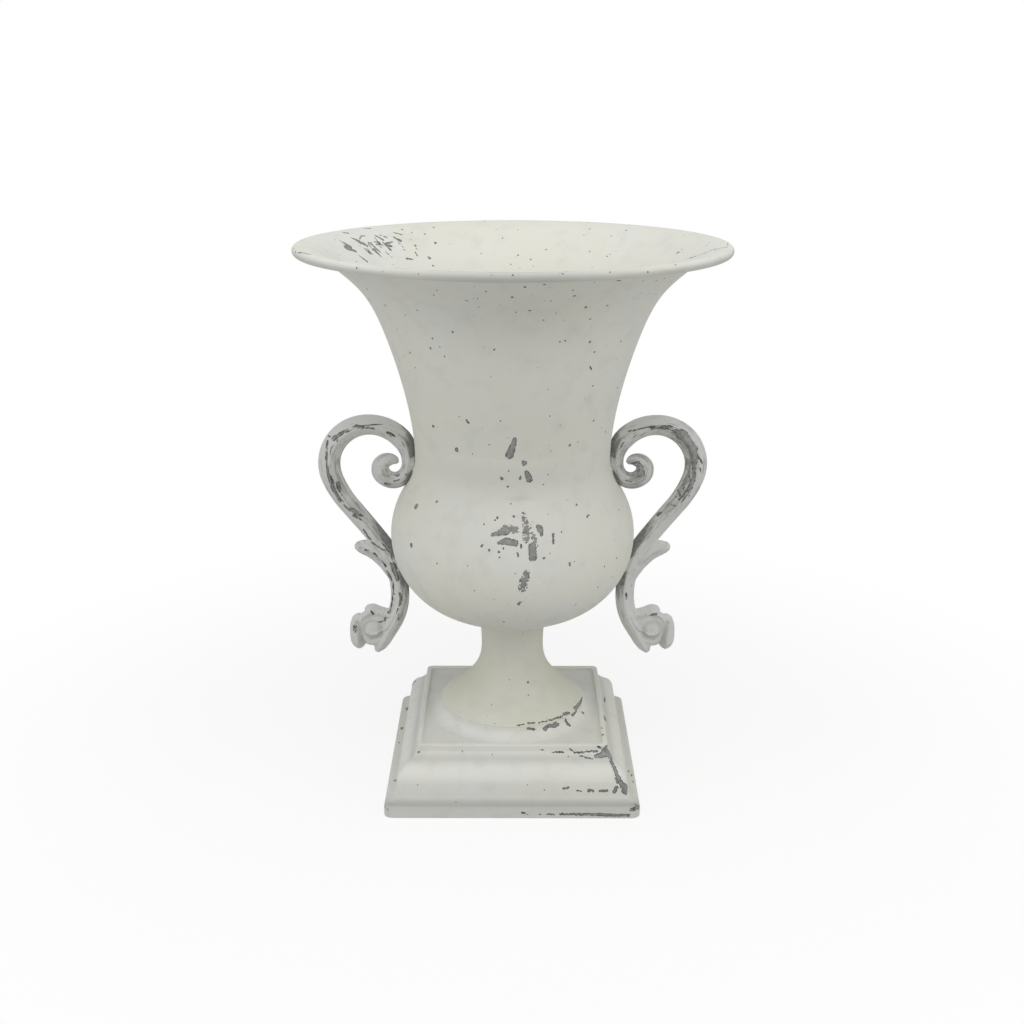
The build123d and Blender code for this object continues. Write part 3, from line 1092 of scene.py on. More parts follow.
@dataclass(frozen=True)
class Stroke:
    """Bar carried along a path: start, heading in degrees and runs of (length, turn in degrees).

    Its widths are rows of (length, half width), and its depth is a share of the half width.
    """

    start: Pair
    heading: float
    runs: Rows
    widths: Rows
    depth_ratio: float = 0.92
    step: float = 0.7
    least_stations: int = 8

    def path(self) -> tuple[Array, Array, Array]:
        """Length, place and heading along the runs: the heading grows in proportion within a run.

        Returns:
            Lengths (n,), places (n, 2) and headings in radians (n,).
        """
        runs = np.asarray(self.runs, dtype=float)
        ends = np.concatenate(([0.0], np.cumsum(runs[:, 0])))
        turns = np.concatenate(([0.0], np.cumsum(runs[:, 1])))
        length = np.linspace(0, ends[-1], max(self.least_stations, int(ends[-1] / self.step)))
        angle = np.radians(self.heading + np.interp(length, ends, turns))
        middle = (angle[1:] + angle[:-1]) / 2
        steps = np.diff(length)[:, None] * np.column_stack((np.cos(middle), np.sin(middle)))
        place = np.asarray(self.start) + np.vstack((np.zeros(2), np.cumsum(steps, axis=0)))
        return length, place, angle


@dataclass(frozen=True)
class Carving:
    """Soft groove in the casting's front and back along a line: depth * exp(-(d / w)^2)."""

    ends: tuple[Pair, Pair]
    depth: float
    width: float

    def at(self, points: Array) -> Array:
        """Depth at points (n, 2), by their distance from the line.

        Args:
            points: Places outwards and upwards from the waist circle.

        Returns:
            Depths of shape (n,).
        """
        first, last = np.asarray(self.ends[0]), np.asarray(self.ends[1])
        run = last - first
        share = np.clip((points - first) @ run / max(run @ run, SAME_POINT), 0, 1)
        away = np.linalg.norm(points - first - share[:, None] * run, axis=1)
        return self.depth * bell(away, self.width)


@dataclass(frozen=True)
class ScrollHandle:
    """Cast scroll handle: a ridged bar with an inner curl, an arch, a spur, a volute and a leaf.

    Places are outwards and upwards from the waist circle. Lengths along the bar are counted from
    the top of the arch, negative towards the curl. The tables of wear, and of thin paint with
    painted shade, are rows of (length, share).
    """

    side: Side
    rubbed: Rows
    thin_paint_and_shade: Rows
    rub_width: float
    waist: Pair = (53.4, 185.0)
    arch: Pair = (24.9, 16.9)
    curl_runs: Rows = ((20.8, 51), (20.2, 69), (15.5, 113), (14.2, 150), (2.6, 45))
    curl_widths: Rows = (
        (0, 5.7), (20, 5.9), (38, 4.1), (50, 4.9), (57, 5.2), (62, 4.9), (66, 4.3), (69, 3.6),
        (71, 3.0), (72.3, 2.2), (73.3, 1.2),
    )
    tail_runs: Rows = (
        (43.5, -111.0), (17.7, -18.1), (26.6, 2.2), (36.5, 40.3), (16.8, 27.7), (19.6, -7.3),
    )
    tail_widths: Rows = (
        (0, 5.7), (18, 6.1), (40, 6.2), (62, 5.7), (90, 5.5),
        (125, 5.3), (144, 5.3), (152, 4.9), (157, 3.8), (160.7, 1.4),
    )
    spur: Stroke = Stroke(
        (12.1, -73.8), 70.0, ((10.0, -10), (12.0, -26), (11.0, -44)),
        ((0, 3.4), (8, 4.4), (16, 5.0), (24, 4.9), (28, 4.5), (31.4, 3.2), (33, 1.4)),
    )
    crest: Stroke = Stroke(
        (14.9, -94.5), 8.0, ((9.0, 6), (6.8, -22)),
        ((0, 3.8), (4, 3.5), (8, 4.0), (11.5, 4.7), (14.4, 3.7), (15.8, 1.6)),
    )
    lobe: Stroke = Stroke(
        (33.8, -94.0), -82.0, ((21.2, -14),),
        ((0, 1.6), (2, 3.6), (6, 4.7), (12, 4.9), (17, 4.6), (19.8, 3.2), (21.2, 1.4)),
    )
    scroll: Stroke = Stroke(
        (12.6, -88.0), -82.0, ((9.0, 16), (12.0, 46), (11.0, 90), (9.0, 100), (5.0, 60)),
        ((0, 1.2), (6, 2.0), (20, 2.2), (30, 2.1), (38, 1.8), (44, 1.3), (46, 0.7)), 2.35,
    )
    eye_place: Pair = (26.0, -103.2)
    eye_radius: float = 10.0
    eye_depth: float = 4.2
    eye_powers: Pair = (0.6, 0.8)
    eye_rows: int = 24
    ring_place: Pair = (26.0, -102.8)
    ring_radius: float = 4.9
    ring_width: float = 1.3
    ring_depth: float = 2.2
    ring_lean: Pair = (0.3, 0.5)
    ring_even: float = 0.5
    ring_least: float = 0.45
    lobe_groove: Carving = Carving(((34.6, -99.0), (32.0, -112.5)), 2.0, 1.5)
    crest_dimple: Carving = Carving(((27.3, -95.2), (27.3, -95.2)), 0.9, 1.8)
    spur_groove: Carving = Carving(((17.5, -63.5), (31.5, -52.4)), 1.1, 1.5)
    carve_most: float = 0.75
    # Painted shade in the carved grooves: darkening per millimetre of depth, and its most.
    carve_shade: float = 0.25
    shade_most: float = 0.5
    lugs: tuple[float, float] = (-4.8, -62.3)
    lug_radius: float = 3.7
    lug_reach: float = 5.5
    lug_stations: int = 8
    lug_patch: float = 3.9
    roundness: float = 1.25
    ridge_shift: float = 0.12
    clearance: float = 0.12
    voxel: float = 0.38
    soften_share: float = 0.5
    soften_times: int = 2
    front_share: float = 0.35
    back_rub: float = 0.3
    bare_gain: float = 2.4
    bare_start: float = 0.3
    bare_reach: Pair = (7.0, 13.0)
    upper_thin: float = 0.6
    grain_scale: Pair = (0.3, 1.4)
    sharp: float = 60.0
    columns: int = 44

    def _bar(self) -> tuple[Array, Array, Array, Array]:
        """The main bar from the curl's tip to the leaf's point.

        Returns:
            Lengths (n,), places (n, 2), headings in radians (n,) and half widths (n,).
        """
        curl = Stroke(self.arch, 180.0, self.curl_runs, self.curl_widths).path()
        tail = Stroke(self.arch, 0.0, self.tail_runs, self.tail_widths).path()
        length = np.concatenate((-curl[0][::-1], tail[0][1:]))
        place = np.vstack((curl[1][::-1], tail[1][1:]))
        angle = np.concatenate((curl[2][::-1] - np.pi, tail[2][1:]))
        widths = tuple((-s, w) for s, w in self.curl_widths[::-1]) + self.tail_widths[1:]
        return length, place, angle, read_off(widths, length)

    def _tube(
        self, place: Array, angle: Array, half: Array, shift: float = 0.0, deep: float = 0.92
    ) -> tuple[Array, Faces]:
        """Superellipse |a/w|^p + |b/d|^p = 1 carried along a path.

        Args:
            place: Stations (n, 2) outwards and upwards from the waist circle.
            angle: Headings in radians.
            half: Half widths.
            shift: Share of the half width by which the ridges lie to the right of the path.
            deep: Half depth as a share of the half width.

        Returns:
            Points (m, 3) and quads of the closed tube.
        """
        place = np.vstack((place[:1], place, place[-1:]))
        angle = np.concatenate((angle[:1], angle, angle[-1:]))
        half = np.concatenate(([0.0], half, [0.0]))[:, None]
        turn = np.linspace(0, 2 * np.pi, self.columns, endpoint=False)
        power = 2 / self.roundness
        a = np.sign(np.cos(turn)) * np.abs(np.cos(turn)) ** power
        b = np.sign(np.sin(turn)) * np.abs(np.sin(turn)) ** power
        across = half * (a - shift * np.abs(b))
        x = self.waist[0] + place[:, :1] - np.sin(angle)[:, None] * across
        z = self.waist[1] + place[:, 1:] + np.cos(angle)[:, None] * across
        y = deep * half * b
        points = np.stack((x, y, z), axis=-1).reshape(-1, 3)
        return points, grid_quads(len(place), self.columns, False)

    def _eye(self) -> tuple[Array, Faces]:
        """Flat round boss of the volute: a superellipsoid disc about a line from front to back.

        Returns:
            Points (m, 3) and quads of the closed disc.
        """
        rise = np.linspace(-np.pi / 2, np.pi / 2, self.eye_rows)[:, None]
        turn = np.linspace(0, 2 * np.pi, self.columns, endpoint=False)[None, :]
        side, face = self.eye_powers
        radius = self.eye_radius * np.cos(rise) ** side
        x = self.waist[0] + self.eye_place[0] + radius * np.cos(turn)
        z = self.waist[1] + self.eye_place[1] + radius * np.sin(turn)
        depth = self.eye_depth * np.sign(rise) * np.abs(np.sin(rise)) ** face
        points = np.stack((x, np.broadcast_to(depth, x.shape), z), axis=-1).reshape(-1, 3)
        return points, grid_quads(self.eye_rows, self.columns, False)

    def _lug(self, rise: float, skin: Array) -> tuple[Array, Faces]:
        """Round lug from the wall into the bar, square to the wall.

        Args:
            rise: Its height from the waist.
            skin: The body's outer line.

        Returns:
            Points (m, 3) and quads of the closed lug.
        """
        along = np.gradient(skin, axis=0)
        row = int(np.argmin(np.abs(skin[:, 1] - (self.waist[1] + rise))))
        direction = math.atan2(-along[row, 0], along[row, 1])
        out = np.array((math.cos(direction), math.sin(direction)))
        foot = skin[row] - np.asarray(self.waist)
        count = self.lug_stations
        place = foot + np.linspace(0, self.lug_reach, count)[:, None] * out
        return self._tube(place, np.full(count, direction), np.full(count, self.lug_radius))

    def _cast(self, name: str, skin: Array) -> Item:
        """Joins the strokes as one casting: voxels melt them together and smoothing softens joins.

        Args:
            name: Name of the piece.
            skin: The body's outer line.

        Returns:
            The new object.
        """
        _, place, angle, half = self._bar()
        parts = [self._tube(place, angle, half, self.ridge_shift), self._eye()]
        for stroke in (self.spur, self.crest, self.lobe, self.scroll):
            reach, place, angle = stroke.path()
            half = read_off(stroke.widths, reach)
            parts.append(self._tube(place, angle, half, deep=stroke.depth_ratio))
        parts += [self._lug(rise, skin) for rise in self.lugs]
        starts = np.cumsum([0] + [len(points) for points, _ in parts[:-1]])
        points = np.vstack([points for points, _ in parts])
        quads = np.vstack([quads + start for (_, quads), start in zip(parts, starts)])
        item = mesh_object(name, points, quads)
        melt = item.modifiers.new("melt", "REMESH")
        melt.mode = "VOXEL"
        melt.voxel_size = self.voxel * MM
        soften = item.modifiers.new("soften", "SMOOTH")
        soften.factor = self.soften_share
        soften.iterations = self.soften_times
        evaluated = item.evaluated_get(bpy.context.evaluated_depsgraph_get())
        mesh = bpy.data.meshes.new_from_object(evaluated)
        item.modifiers.clear()
        item.data = mesh
        return item

    def _carved(self, flat: Array) -> Array:
        """Depth carved from front and back: a ring round the boss, deepest below it, and the lines.

        Args:
            flat: Vertices outwards and upwards from the waist circle.

        Returns:
            Depths of shape (n,).
        """
        off = flat - np.asarray(self.ring_place)
        reach = np.linalg.norm(off, axis=1)
        out, up = self.ring_lean
        lean = (out * off[:, 0] + up * off[:, 1]) / np.maximum(reach, SHORTEST)
        low_side = np.clip(self.ring_even - lean, self.ring_least, 1.0)
        depth = self.ring_depth * low_side * bell(reach - self.ring_radius, self.ring_width)
        for carving in (self.lobe_groove, self.crest_dimple, self.spur_groove):
            depth = depth + carving.at(flat)
        return depth

    def build(self, skin: Array) -> Item:
        """Makes the casting, carves the volute, stores where the paint is rubbed and paints shade
        into the carved grooves.

        Args:
            skin: The body's outer line, which the handle's lugs and back follow.

        Returns:
            The new object.
        """
        item = self._cast(f"handle_{self.side.name.lower()}_piece", skin)
        mesh = item.data
        points = vertex_places(mesh)
        flat = points[:, (0, 2)] - np.asarray(self.waist)
        depth = self._carved(flat)
        most = self.carve_most * np.abs(points[:, 1])
        points[:, 1] -= np.sign(points[:, 1]) * np.minimum(depth, most)
        wall = np.interp(points[:, 2], skin[:, 1], skin[:, 0]) + self.clearance
        out = np.maximum(1.0, wall / np.hypot(points[:, 0], points[:, 1]))
        points[:, :2] *= out[:, None]
        normals = np.empty(3 * len(points))
        mesh.vertex_normals.foreach_get("vector", normals)
        wear, bare, grain = self._wear(points, flat, normals.reshape(-1, 3), wall)
        # Painted shade: the carved grooves darken in proportion to their depth.
        shade_share = np.clip(self.carve_shade * depth, 0.0, self.shade_most)
        write_attributes(mesh, wear=wear, bare=bare, grain=grain, grime=shade_share)
        if self.side is Side.LEFT:
            points[:, 0] *= -1
            mesh.flip_normals()
        mesh.vertices.foreach_set("co", (points * MM).ravel())
        finish_shading(mesh, self.sharp)
        return item

    def _wear(
        self, points: Array, flat: Array, normals: Array, wall: Array
    ) -> tuple[Array, Array, Array]:
        """Where the paint is rubbed along the front ridge, faces towards the bowl are bare and
        paint is thin, with more bare metal on the bar's lower side as painted shade.

        Args:
            points: Vertices of the right-hand casting.
            flat: The same, outwards and upwards from the waist circle.
            normals: Vertex normals.
            wall: Radius of the body's skin at each vertex's height.

        Returns:
            Share rubbed, share bare or thin with its painted shade, and places drawn out along the
            bar for the grain of both.
        """
        length, place, angle, half = self._bar()
        gap = flat[:, None, :].astype(np.float32) - place[None, ::2, :].astype(np.float32)
        near = 2 * np.argmin(np.einsum("ijk,ijk->ij", gap, gap), axis=1)
        length, angle, half = length[near], angle[near], half[near]
        off = flat - place[near]
        across = -np.sin(angle) * off[:, 0] + np.cos(angle) * off[:, 1]
        along = length + np.cos(angle) * off[:, 0] + np.sin(angle) * off[:, 1]
        rub = read_off(self.rubbed, length)
        rub = rub * bell(across / half + self.ridge_shift, self.rub_width)
        rub = np.where(points[:, 1] < -self.front_share * half, rub, self.back_rub * rub)
        lug = np.min([np.abs(flat[:, 1] - rise) for rise in self.lugs], axis=0)
        out = np.hypot(points[:, 0], points[:, 1])
        inwards = -np.sum(normals[:, :2] * points[:, :2], axis=1) / out
        reach = np.where(length < 0, *self.bare_reach)
        bare = np.clip(inwards * self.bare_gain - self.bare_start, 0, 1) * bell(out - wall, reach)
        bare = bare * (1 - np.exp(-((lug / self.lug_patch) ** 4)))
        # Painted shade: the lower side of the bar keeps the full thin paint, the upper side only
        # upper_thin of it, darkening the side away from the overhead light.
        below = across < -self.ridge_shift * half
        thin = read_off(self.thin_paint_and_shade, length) * np.where(below, 1.0, self.upper_thin)
        run, side = self.grain_scale
        grain = np.column_stack((run * along, side * across, side * points[:, 1]))
        return rub, np.maximum(bare, thin), grain


@dataclass(frozen=True)
class Studio:
    """Pale floor, soft overhead light and a camera at the photograph's place."""

    lens: float = 47.65
    sensor: float = 36.0
    clip_end: float = 50.0
    distance: float = 716.95
    height: float = 383.94
    pitch: float = 17.93
    roll: float = 0.1
    shift: float = -0.0005
    floor_half: float = 6000.0
    floor_colour: str = "#D6D6D4"
    near_white: float = 0.8
    shadow_reach: Pair = (180.0, 450.0)
    sky: float = 0.41
    aim_height: float = 0.15
    lamps: tuple[tuple[str, Triple, float, float], ...] = (
        ("front_lamp", (0.0, -1.2, 1.1), 1.2, 3.6),
        ("overhead_lamp", (0.0, -0.3, 1.5), 1.2, 6.5),
        ("left_lamp", (-1.5, -0.6, 0.8), 1.2, 4.5),
        ("right_lamp", (1.5, -0.6, 0.8), 1.2, 4.5),
    )

    def camera(self) -> None:
        """Places the camera, which looks along +Y and down."""
        data = bpy.data.cameras.new("view")
        data.lens = self.lens
        data.sensor_width = self.sensor
        data.shift_x = self.shift
        data.clip_end = self.clip_end
        item = bpy.data.objects.new("view", data)
        spot = Matrix.Translation((0, -self.distance * MM, self.height * MM))
        tilt = Matrix.Rotation(math.radians(90 - self.pitch), 4, "X")
        roll = Matrix.Rotation(math.radians(self.roll), 4, "Z")
        item.matrix_world = spot @ tilt @ roll
        bpy.context.scene.collection.objects.link(item)
        bpy.context.scene.camera = item

    def floor(self) -> None:
        """Lays the floor: plain and pale, white to the camera, with the vase's soft shadow kept."""
        share = np.linspace(-self.floor_half, self.floor_half, 3)
        x, y = np.meshgrid(share, share)
        points = np.stack((x, y, np.zeros_like(x)), axis=-1).reshape(-1, 3)
        quads = np.array([(0, 1, 4, 3), (1, 2, 5, 4), (3, 4, 7, 6), (4, 5, 8, 7)])
        item = mesh_object("floor", points, quads)
        material = bpy.data.materials.new("studio_floor")
        tree = cleared_tree(material)
        place = add(tree, "ShaderNodeTexCoord").outputs["Object"]
        away = vector_maths(tree, "LENGTH", {0: place})
        near, far = (reach * MM for reach in self.shadow_reach)
        to = (self.near_white, 1.0)
        white_share = ramp(tree, away, (near, far), to, interpolation_type="SMOOTHSTEP")
        straight = add(tree, "ShaderNodeLightPath").outputs["Is Camera Ray"]
        colour = mix(tree, straight, linear(self.floor_colour), WHITE)
        matt = add(tree, "ShaderNodeBsdfDiffuse", {"Color": colour}).outputs[0]
        white = add(tree, "ShaderNodeEmission", {"Color": WHITE, "Strength": 1.0}).outputs[0]
        share = maths(tree, "MULTIPLY", seen(tree), white_share)
        mixed = add(tree, "ShaderNodeMixShader", {0: share, 1: matt, 2: white}).outputs[0]
        add(tree, "ShaderNodeOutputMaterial", {"Surface": mixed})
        item.data.materials.append(material)

    def light(self) -> None:
        """Hangs the wide lamps and gives the room an even white light."""
        for name, place, size, power in self.lamps:
            data = bpy.data.lights.new(name, "AREA")
            data.shape = "DISK"
            data.size = size
            data.energy = power
            item = bpy.data.objects.new(name, data)
            aim = Vector((0.0, 0.0, self.aim_height)) - Vector(place)
            turn = aim.to_track_quat("-Z", "Y").to_matrix().to_4x4()
            item.matrix_world = Matrix.Translation(place) @ turn
            bpy.context.scene.collection.objects.link(item)
        world = bpy.data.worlds.new("room")
        bpy.context.scene.world = world
        tree = cleared_tree(world)
        strength = ramp(tree, seen(tree), (0.0, 1.0), (self.sky, 1.0))
        room = add(tree, "ShaderNodeBackground", {"Color": WHITE, "Strength": strength})
        add(tree, "ShaderNodeOutputWorld", {"Surface": room.outputs[0]})
        bpy.context.scene.view_settings.view_transform = "Standard"


# Wear and painted shade, placed one by one after the photograph: flakes are rows of x, y, z and
# half width at a spot or at both ends of a streak, and zones have a place, a reach and an amount.

NECK_FLAKES = flakes(
    (-94.7, 35.5, 296.6, 0.35, -89.9, 35.5, 293.5, 1.9),
    (-90.7, 32.2, 293.2, 2.35, -86.5, 35.2, 290.9, 1),
    (-90.1, 47.4, 296.9, 0.45, -85.3, 48, 294.4, 1.85),
    (-85.6, 48.4, 294.8, 1.7, -81.7, 48.8, 292.3, 1),
    (-85.6, 51.2, 295.7, 0.45, -85.3, 55.3, 296.9, 0.45),
    (-85.3, 55.4, 296.9, 0.65, -83.3, 57.8, 296.7, 0.45),
    (-81.3, 52.2, 293.5, 0.4, -79.3, 54.6, 293.2, 0.35),
    (-95, 50.2, 299.3, 0.7, -92.3, 52.3, 298.9, 0.85),
    (-84.3, 68.8, 299.7, 0.7, -81.7, 70.4, 299.5, 0.6),
    (-84.5, 33.6, 288.8, 0.4, -80.4, 33.9, 285.6, 0.95),
    (-82.5, 45, 291.4, 0.65, -79.4, 44, 288.7, 1.05),
    (-77.8, 49.6, 289.9, 1.45, -73.8, 48.2, 286.4, 0.5),
    (-78.1, 63.3, 296.2, 0.7, -73.9, 63.1, 293.9, 0.8),
    (-77.9, 57.2, 293.5, 0.75, -75.3, 59.4, 292.9, 0.65),
    (-73.6, 61.1, 292.7, 0.7, -69.4, 58.7, 288.8, 0.8),
    (-72, 61.6, 292, 0.85, -68.9, 65.7, 292.4, 0.6),
    (-72, 54.9, 288.5, 0.35, -68.3, 53.6, 285.3, 0.55),
    (-75.8, 66, 296.2, 0.4, -71.9, 67, 294.7, 0.65),
    (-68.9, 74.6, 296.8, 0.4, -64, 75.8, 295.3, 0.55),
    (-68.2, 70.4, 294.5, 0.65, -64.7, 70.3, 292.7, 1.3),
    (-65.7, 68.4, 292.1, 0.25, -62.9, 66.5, 289.3, 0.55), (-62, 65.4, 288.1, 0.75),
    (-56.4, 72.3, 289.5, 0.85), (-56, 68.2, 286.5, 0.4, -54.9, 66.6, 284.8, 0.6),
    (-60.2, 60.3, 283.8, 0.95, -57, 62.3, 283.1, 0.35), (-64.2, 80.9, 297.7, 0.7),
    (-58.7, 81.2, 296, 0.55), (-71.9, -88.8, 298.6, 0.5), (-67.1, 49.1, 281.8, 0.5),
    (-76.9, 55.9, 292.2, 0.6, -74.1, 58.5, 291.7, 0.5),
    (-71.3, 60.5, 291, 1.05, -69.2, 62, 290.5, 0.95),
    (1, -55.7, 208.5, 1.1, -0.2, -54.9, 203.7, 1.75),
    (-0.3, -54.9, 203.6, 1.75, -1.5, -54.3, 199.9, 2.3), (-11.8, -53.8, 205.2, 0.45),
    (-28.6, -46.3, 200.5, 1.25), (-20.4, -50.3, 199.2, 0.45), (-40.9, -38.3, 210.5, 0.8),
    (-22.8, -52.6, 216.6, 0.9), (19.4, -50.9, 201, 0.45),
    (92.1, 9.9, 290.3, 0.35, 99.1, -7.7, 295.4, 0.5),
    (99.1, -7.7, 295.4, 0.5, 103.8, -12.9, 298.3, 0.65),
    (103.5, -17.5, 298.5, 0.75, 108.9, -18.4, 299.9, 0.8),
    (108.9, -18.4, 299.9, 0.25, 113, 4.3, 299.8, 0.25),
    (89.5, 28.2, 291.2, 0.75, 90, 27.3, 291.5, 0.75),
    (20.8, -111.9, 299.3, 0.3, 23.1, -111.5, 299.3, 0.3),
    (47.9, -84.5, 292.4, 0.45, 51.1, -82.1, 292, 0.35), (19.2, 85.4, 285.9, 0.7),
    (10.2, 81.5, 280.7, 0.65), (2, 83.1, 281.7, 0.5), (5.7, -95.2, 290.9, 0.7),
    (14.4, -95.9, 292.2, 0.7), (-10, -113.4, 299.3, 0.4, -8, -114, 298.7, 0.35),
    (-44.9, 80.7, 290, 0.95), (-48.2, 69.2, 283, 1.25), (-45.8, 66.3, 279, 0.7),
    (-6, 94, 291.5, 0.55), (-106.4, -40.1, 299.4, 0.6, -101.6, -46.8, 300, 0.75),
    (-100.7, -48.7, 300, 0.9, -98.5, -51.4, 300, 0.55),
    (-108.6, -32.3, 299.7, 0.3, -107.7, -37.9, 298.9, 0.35), (-21.8, -83.1, 282.7, 0.8),
    (-12.6, -91.3, 288.3, 0.6), (-16.6, -85.7, 284, 0.6), (-16.2, -81, 279.5, 0.55),
    (-29.1, -66.9, 265.1, 0.7), (-40.6, -55.4, 254.7, 0.75), (-9, -68.9, 256.9, 0.65),
    (7.9, -80.7, 277.7, 0.7), (8.3, -90, 286.8, 0.6), (34.7, -73.7, 278.2, 0.8),
    (37.3, -66.7, 271.4, 0.6), (25.4, -66.2, 260.6, 0.5),
    (38.5, -52.6, 245.1, 0.5, 39.2, -51.4, 243.4, 0.5), (-40.8, -38.5, 210.7, 0.85),
    (-23.2, -52.6, 217.4, 0.75, -22.3, -52.7, 216.3, 0.75), (-33.6, -58.4, 251.3, 0.55),
    (-49.4, -41, 242, 0.75), (18.6, -55.1, 220.4, 0.5), (-6.2, -57.4, 218.4, 0.5),
)
BOWL_FLAKES = flakes(
    (5.8, -53.6, 195.4, 1.55), (-2.1, -53.5, 191.3, 0.55), (-5.5, -53.1, 187.2, 1),
    (3.8, -53.3, 188.2, 0.7, 3.9, -53.3, 187.1, 0.7),
    (7.2, -53, 190.3, 1.2, 8.6, -52.7, 186.7, 1.9), (-2.3, -53.4, 182.9, 0.7),
    (22.7, -48.7, 192.9, 0.45), (18.2, -50.3, 188.4, 0.45),
    (-10.3, -62.5, 159.9, 0.95, -3.6, -62.2, 161.9, 2.5),
    (-7.6, -64.4, 156.1, 0.8, -3, -64.4, 157.1, 2.05),
    (-3, -64.4, 157.1, 2.05, 1.3, -64.8, 156.2, 1.9),
    (13.8, -60.3, 162.9, 2, 14.9, -61.7, 159.6, 0.85),
    (10, -64.6, 154.4, 2.2, 10.5, -65.9, 149.1, 2.2),
    (20.9, -60, 159.5, 0.7, 20.8, -61.7, 155.3, 0.7), (-15.6, -63.5, 154.4, 0.85),
    (-11.7, -64.9, 152.6, 0.8), (-7.8, -58.4, 167.7, 0.7), (0.7, -58.4, 168.4, 0.7),
    (-14.6, -59.2, 164.4, 0.55), (-6.8, -65.8, 151.8, 0.7), (-4.6, -65.5, 153.7, 0.55),
    (-6.7, -66.4, 149.1, 0.7), (2.6, -66.2, 151.4, 0.55, 2.8, -66.6, 149.6, 0.55),
    (16.1, -64.9, 148.2, 0.7), (25.1, -58.2, 159.9, 0.55),
    (29.5, -60.6, 143.9, 0.6, 29.6, -60.6, 142.6, 0.6),
    (4.5, -65, 155.1, 0.8, 4.1, -65.4, 154.1, 0.7),
    (39.6, -45.8, 165.1, 0.55, 38.6, -47.2, 164.5, 0.55),
    (-51.2, -32.2, 165.3, 1.55, -50.9, -32.1, 165.7, 1.3),
    (-39.7, -41, 170.6, 0.95, -39.5, -40.9, 171, 0.75), (-53.5, -40.5, 146.4, 1.3),
    (1.4, -67.5, 140.6, 0.55), (4.2, -64.3, 123.9, 0.8, 3.1, -63.7, 122.3, 0.8),
    (48.5, -46.7, 136.9, 0.6), (55.5, -38.3, 138.8, 0.7),
)
BOWL_CRUMBS = flakes(
    (-3, -61.9, 162.7, 2.75, 1.9, -61.9, 162.7, 1.95),
    (5.5, -57.4, 169.5, 1.25, 6.8, -60.8, 164.1, 1.95),
    (7.4, -61, 163.6, 2.45, 7, -63.8, 157.9, 2.05),
    (10.4, -62.5, 159.8, 1.5, 12, -64.1, 155.1, 1.5),
    (7.3, -67.1, 140.9, 1.95, 6.1, -67.1, 136.8, 2.55),
    (5.9, -67.1, 136.8, 2.35, 5.4, -66.5, 132.2, 2.5),
)
STEM_FLAKES = flakes(
    (2.3, -40.4, 40.9, 0.5, 6.6, -39.5, 41.3, 0.55), (9, -38.6, 41.6, 0.75, 12.2, -38, 41.3, 0.75),
    (14.7, -37.4, 41.1, 0.4, 21.7, -33.8, 41.1, 0.6),
    (21.7, -33.8, 41.1, 0.6, 27.9, -29, 41.1, 0.85),
    (29.2, -27.2, 41.4, 1.05, 31.9, -24.6, 41.1, 0.95),
    (35.9, -19, 40.8, 1.4, 39, -11.7, 40.9, 0.95), (39, -11.7, 40.9, 0.95, 40.6, -4, 41, 0.5),
    (8.9, -20.5, 57.8, 0.6), (8.9, -25.6, 52.3, 0.4), (-11.5, -29.4, 48.2, 0.55),
    (-9.8, -38.7, 41.3, 0.4),
)
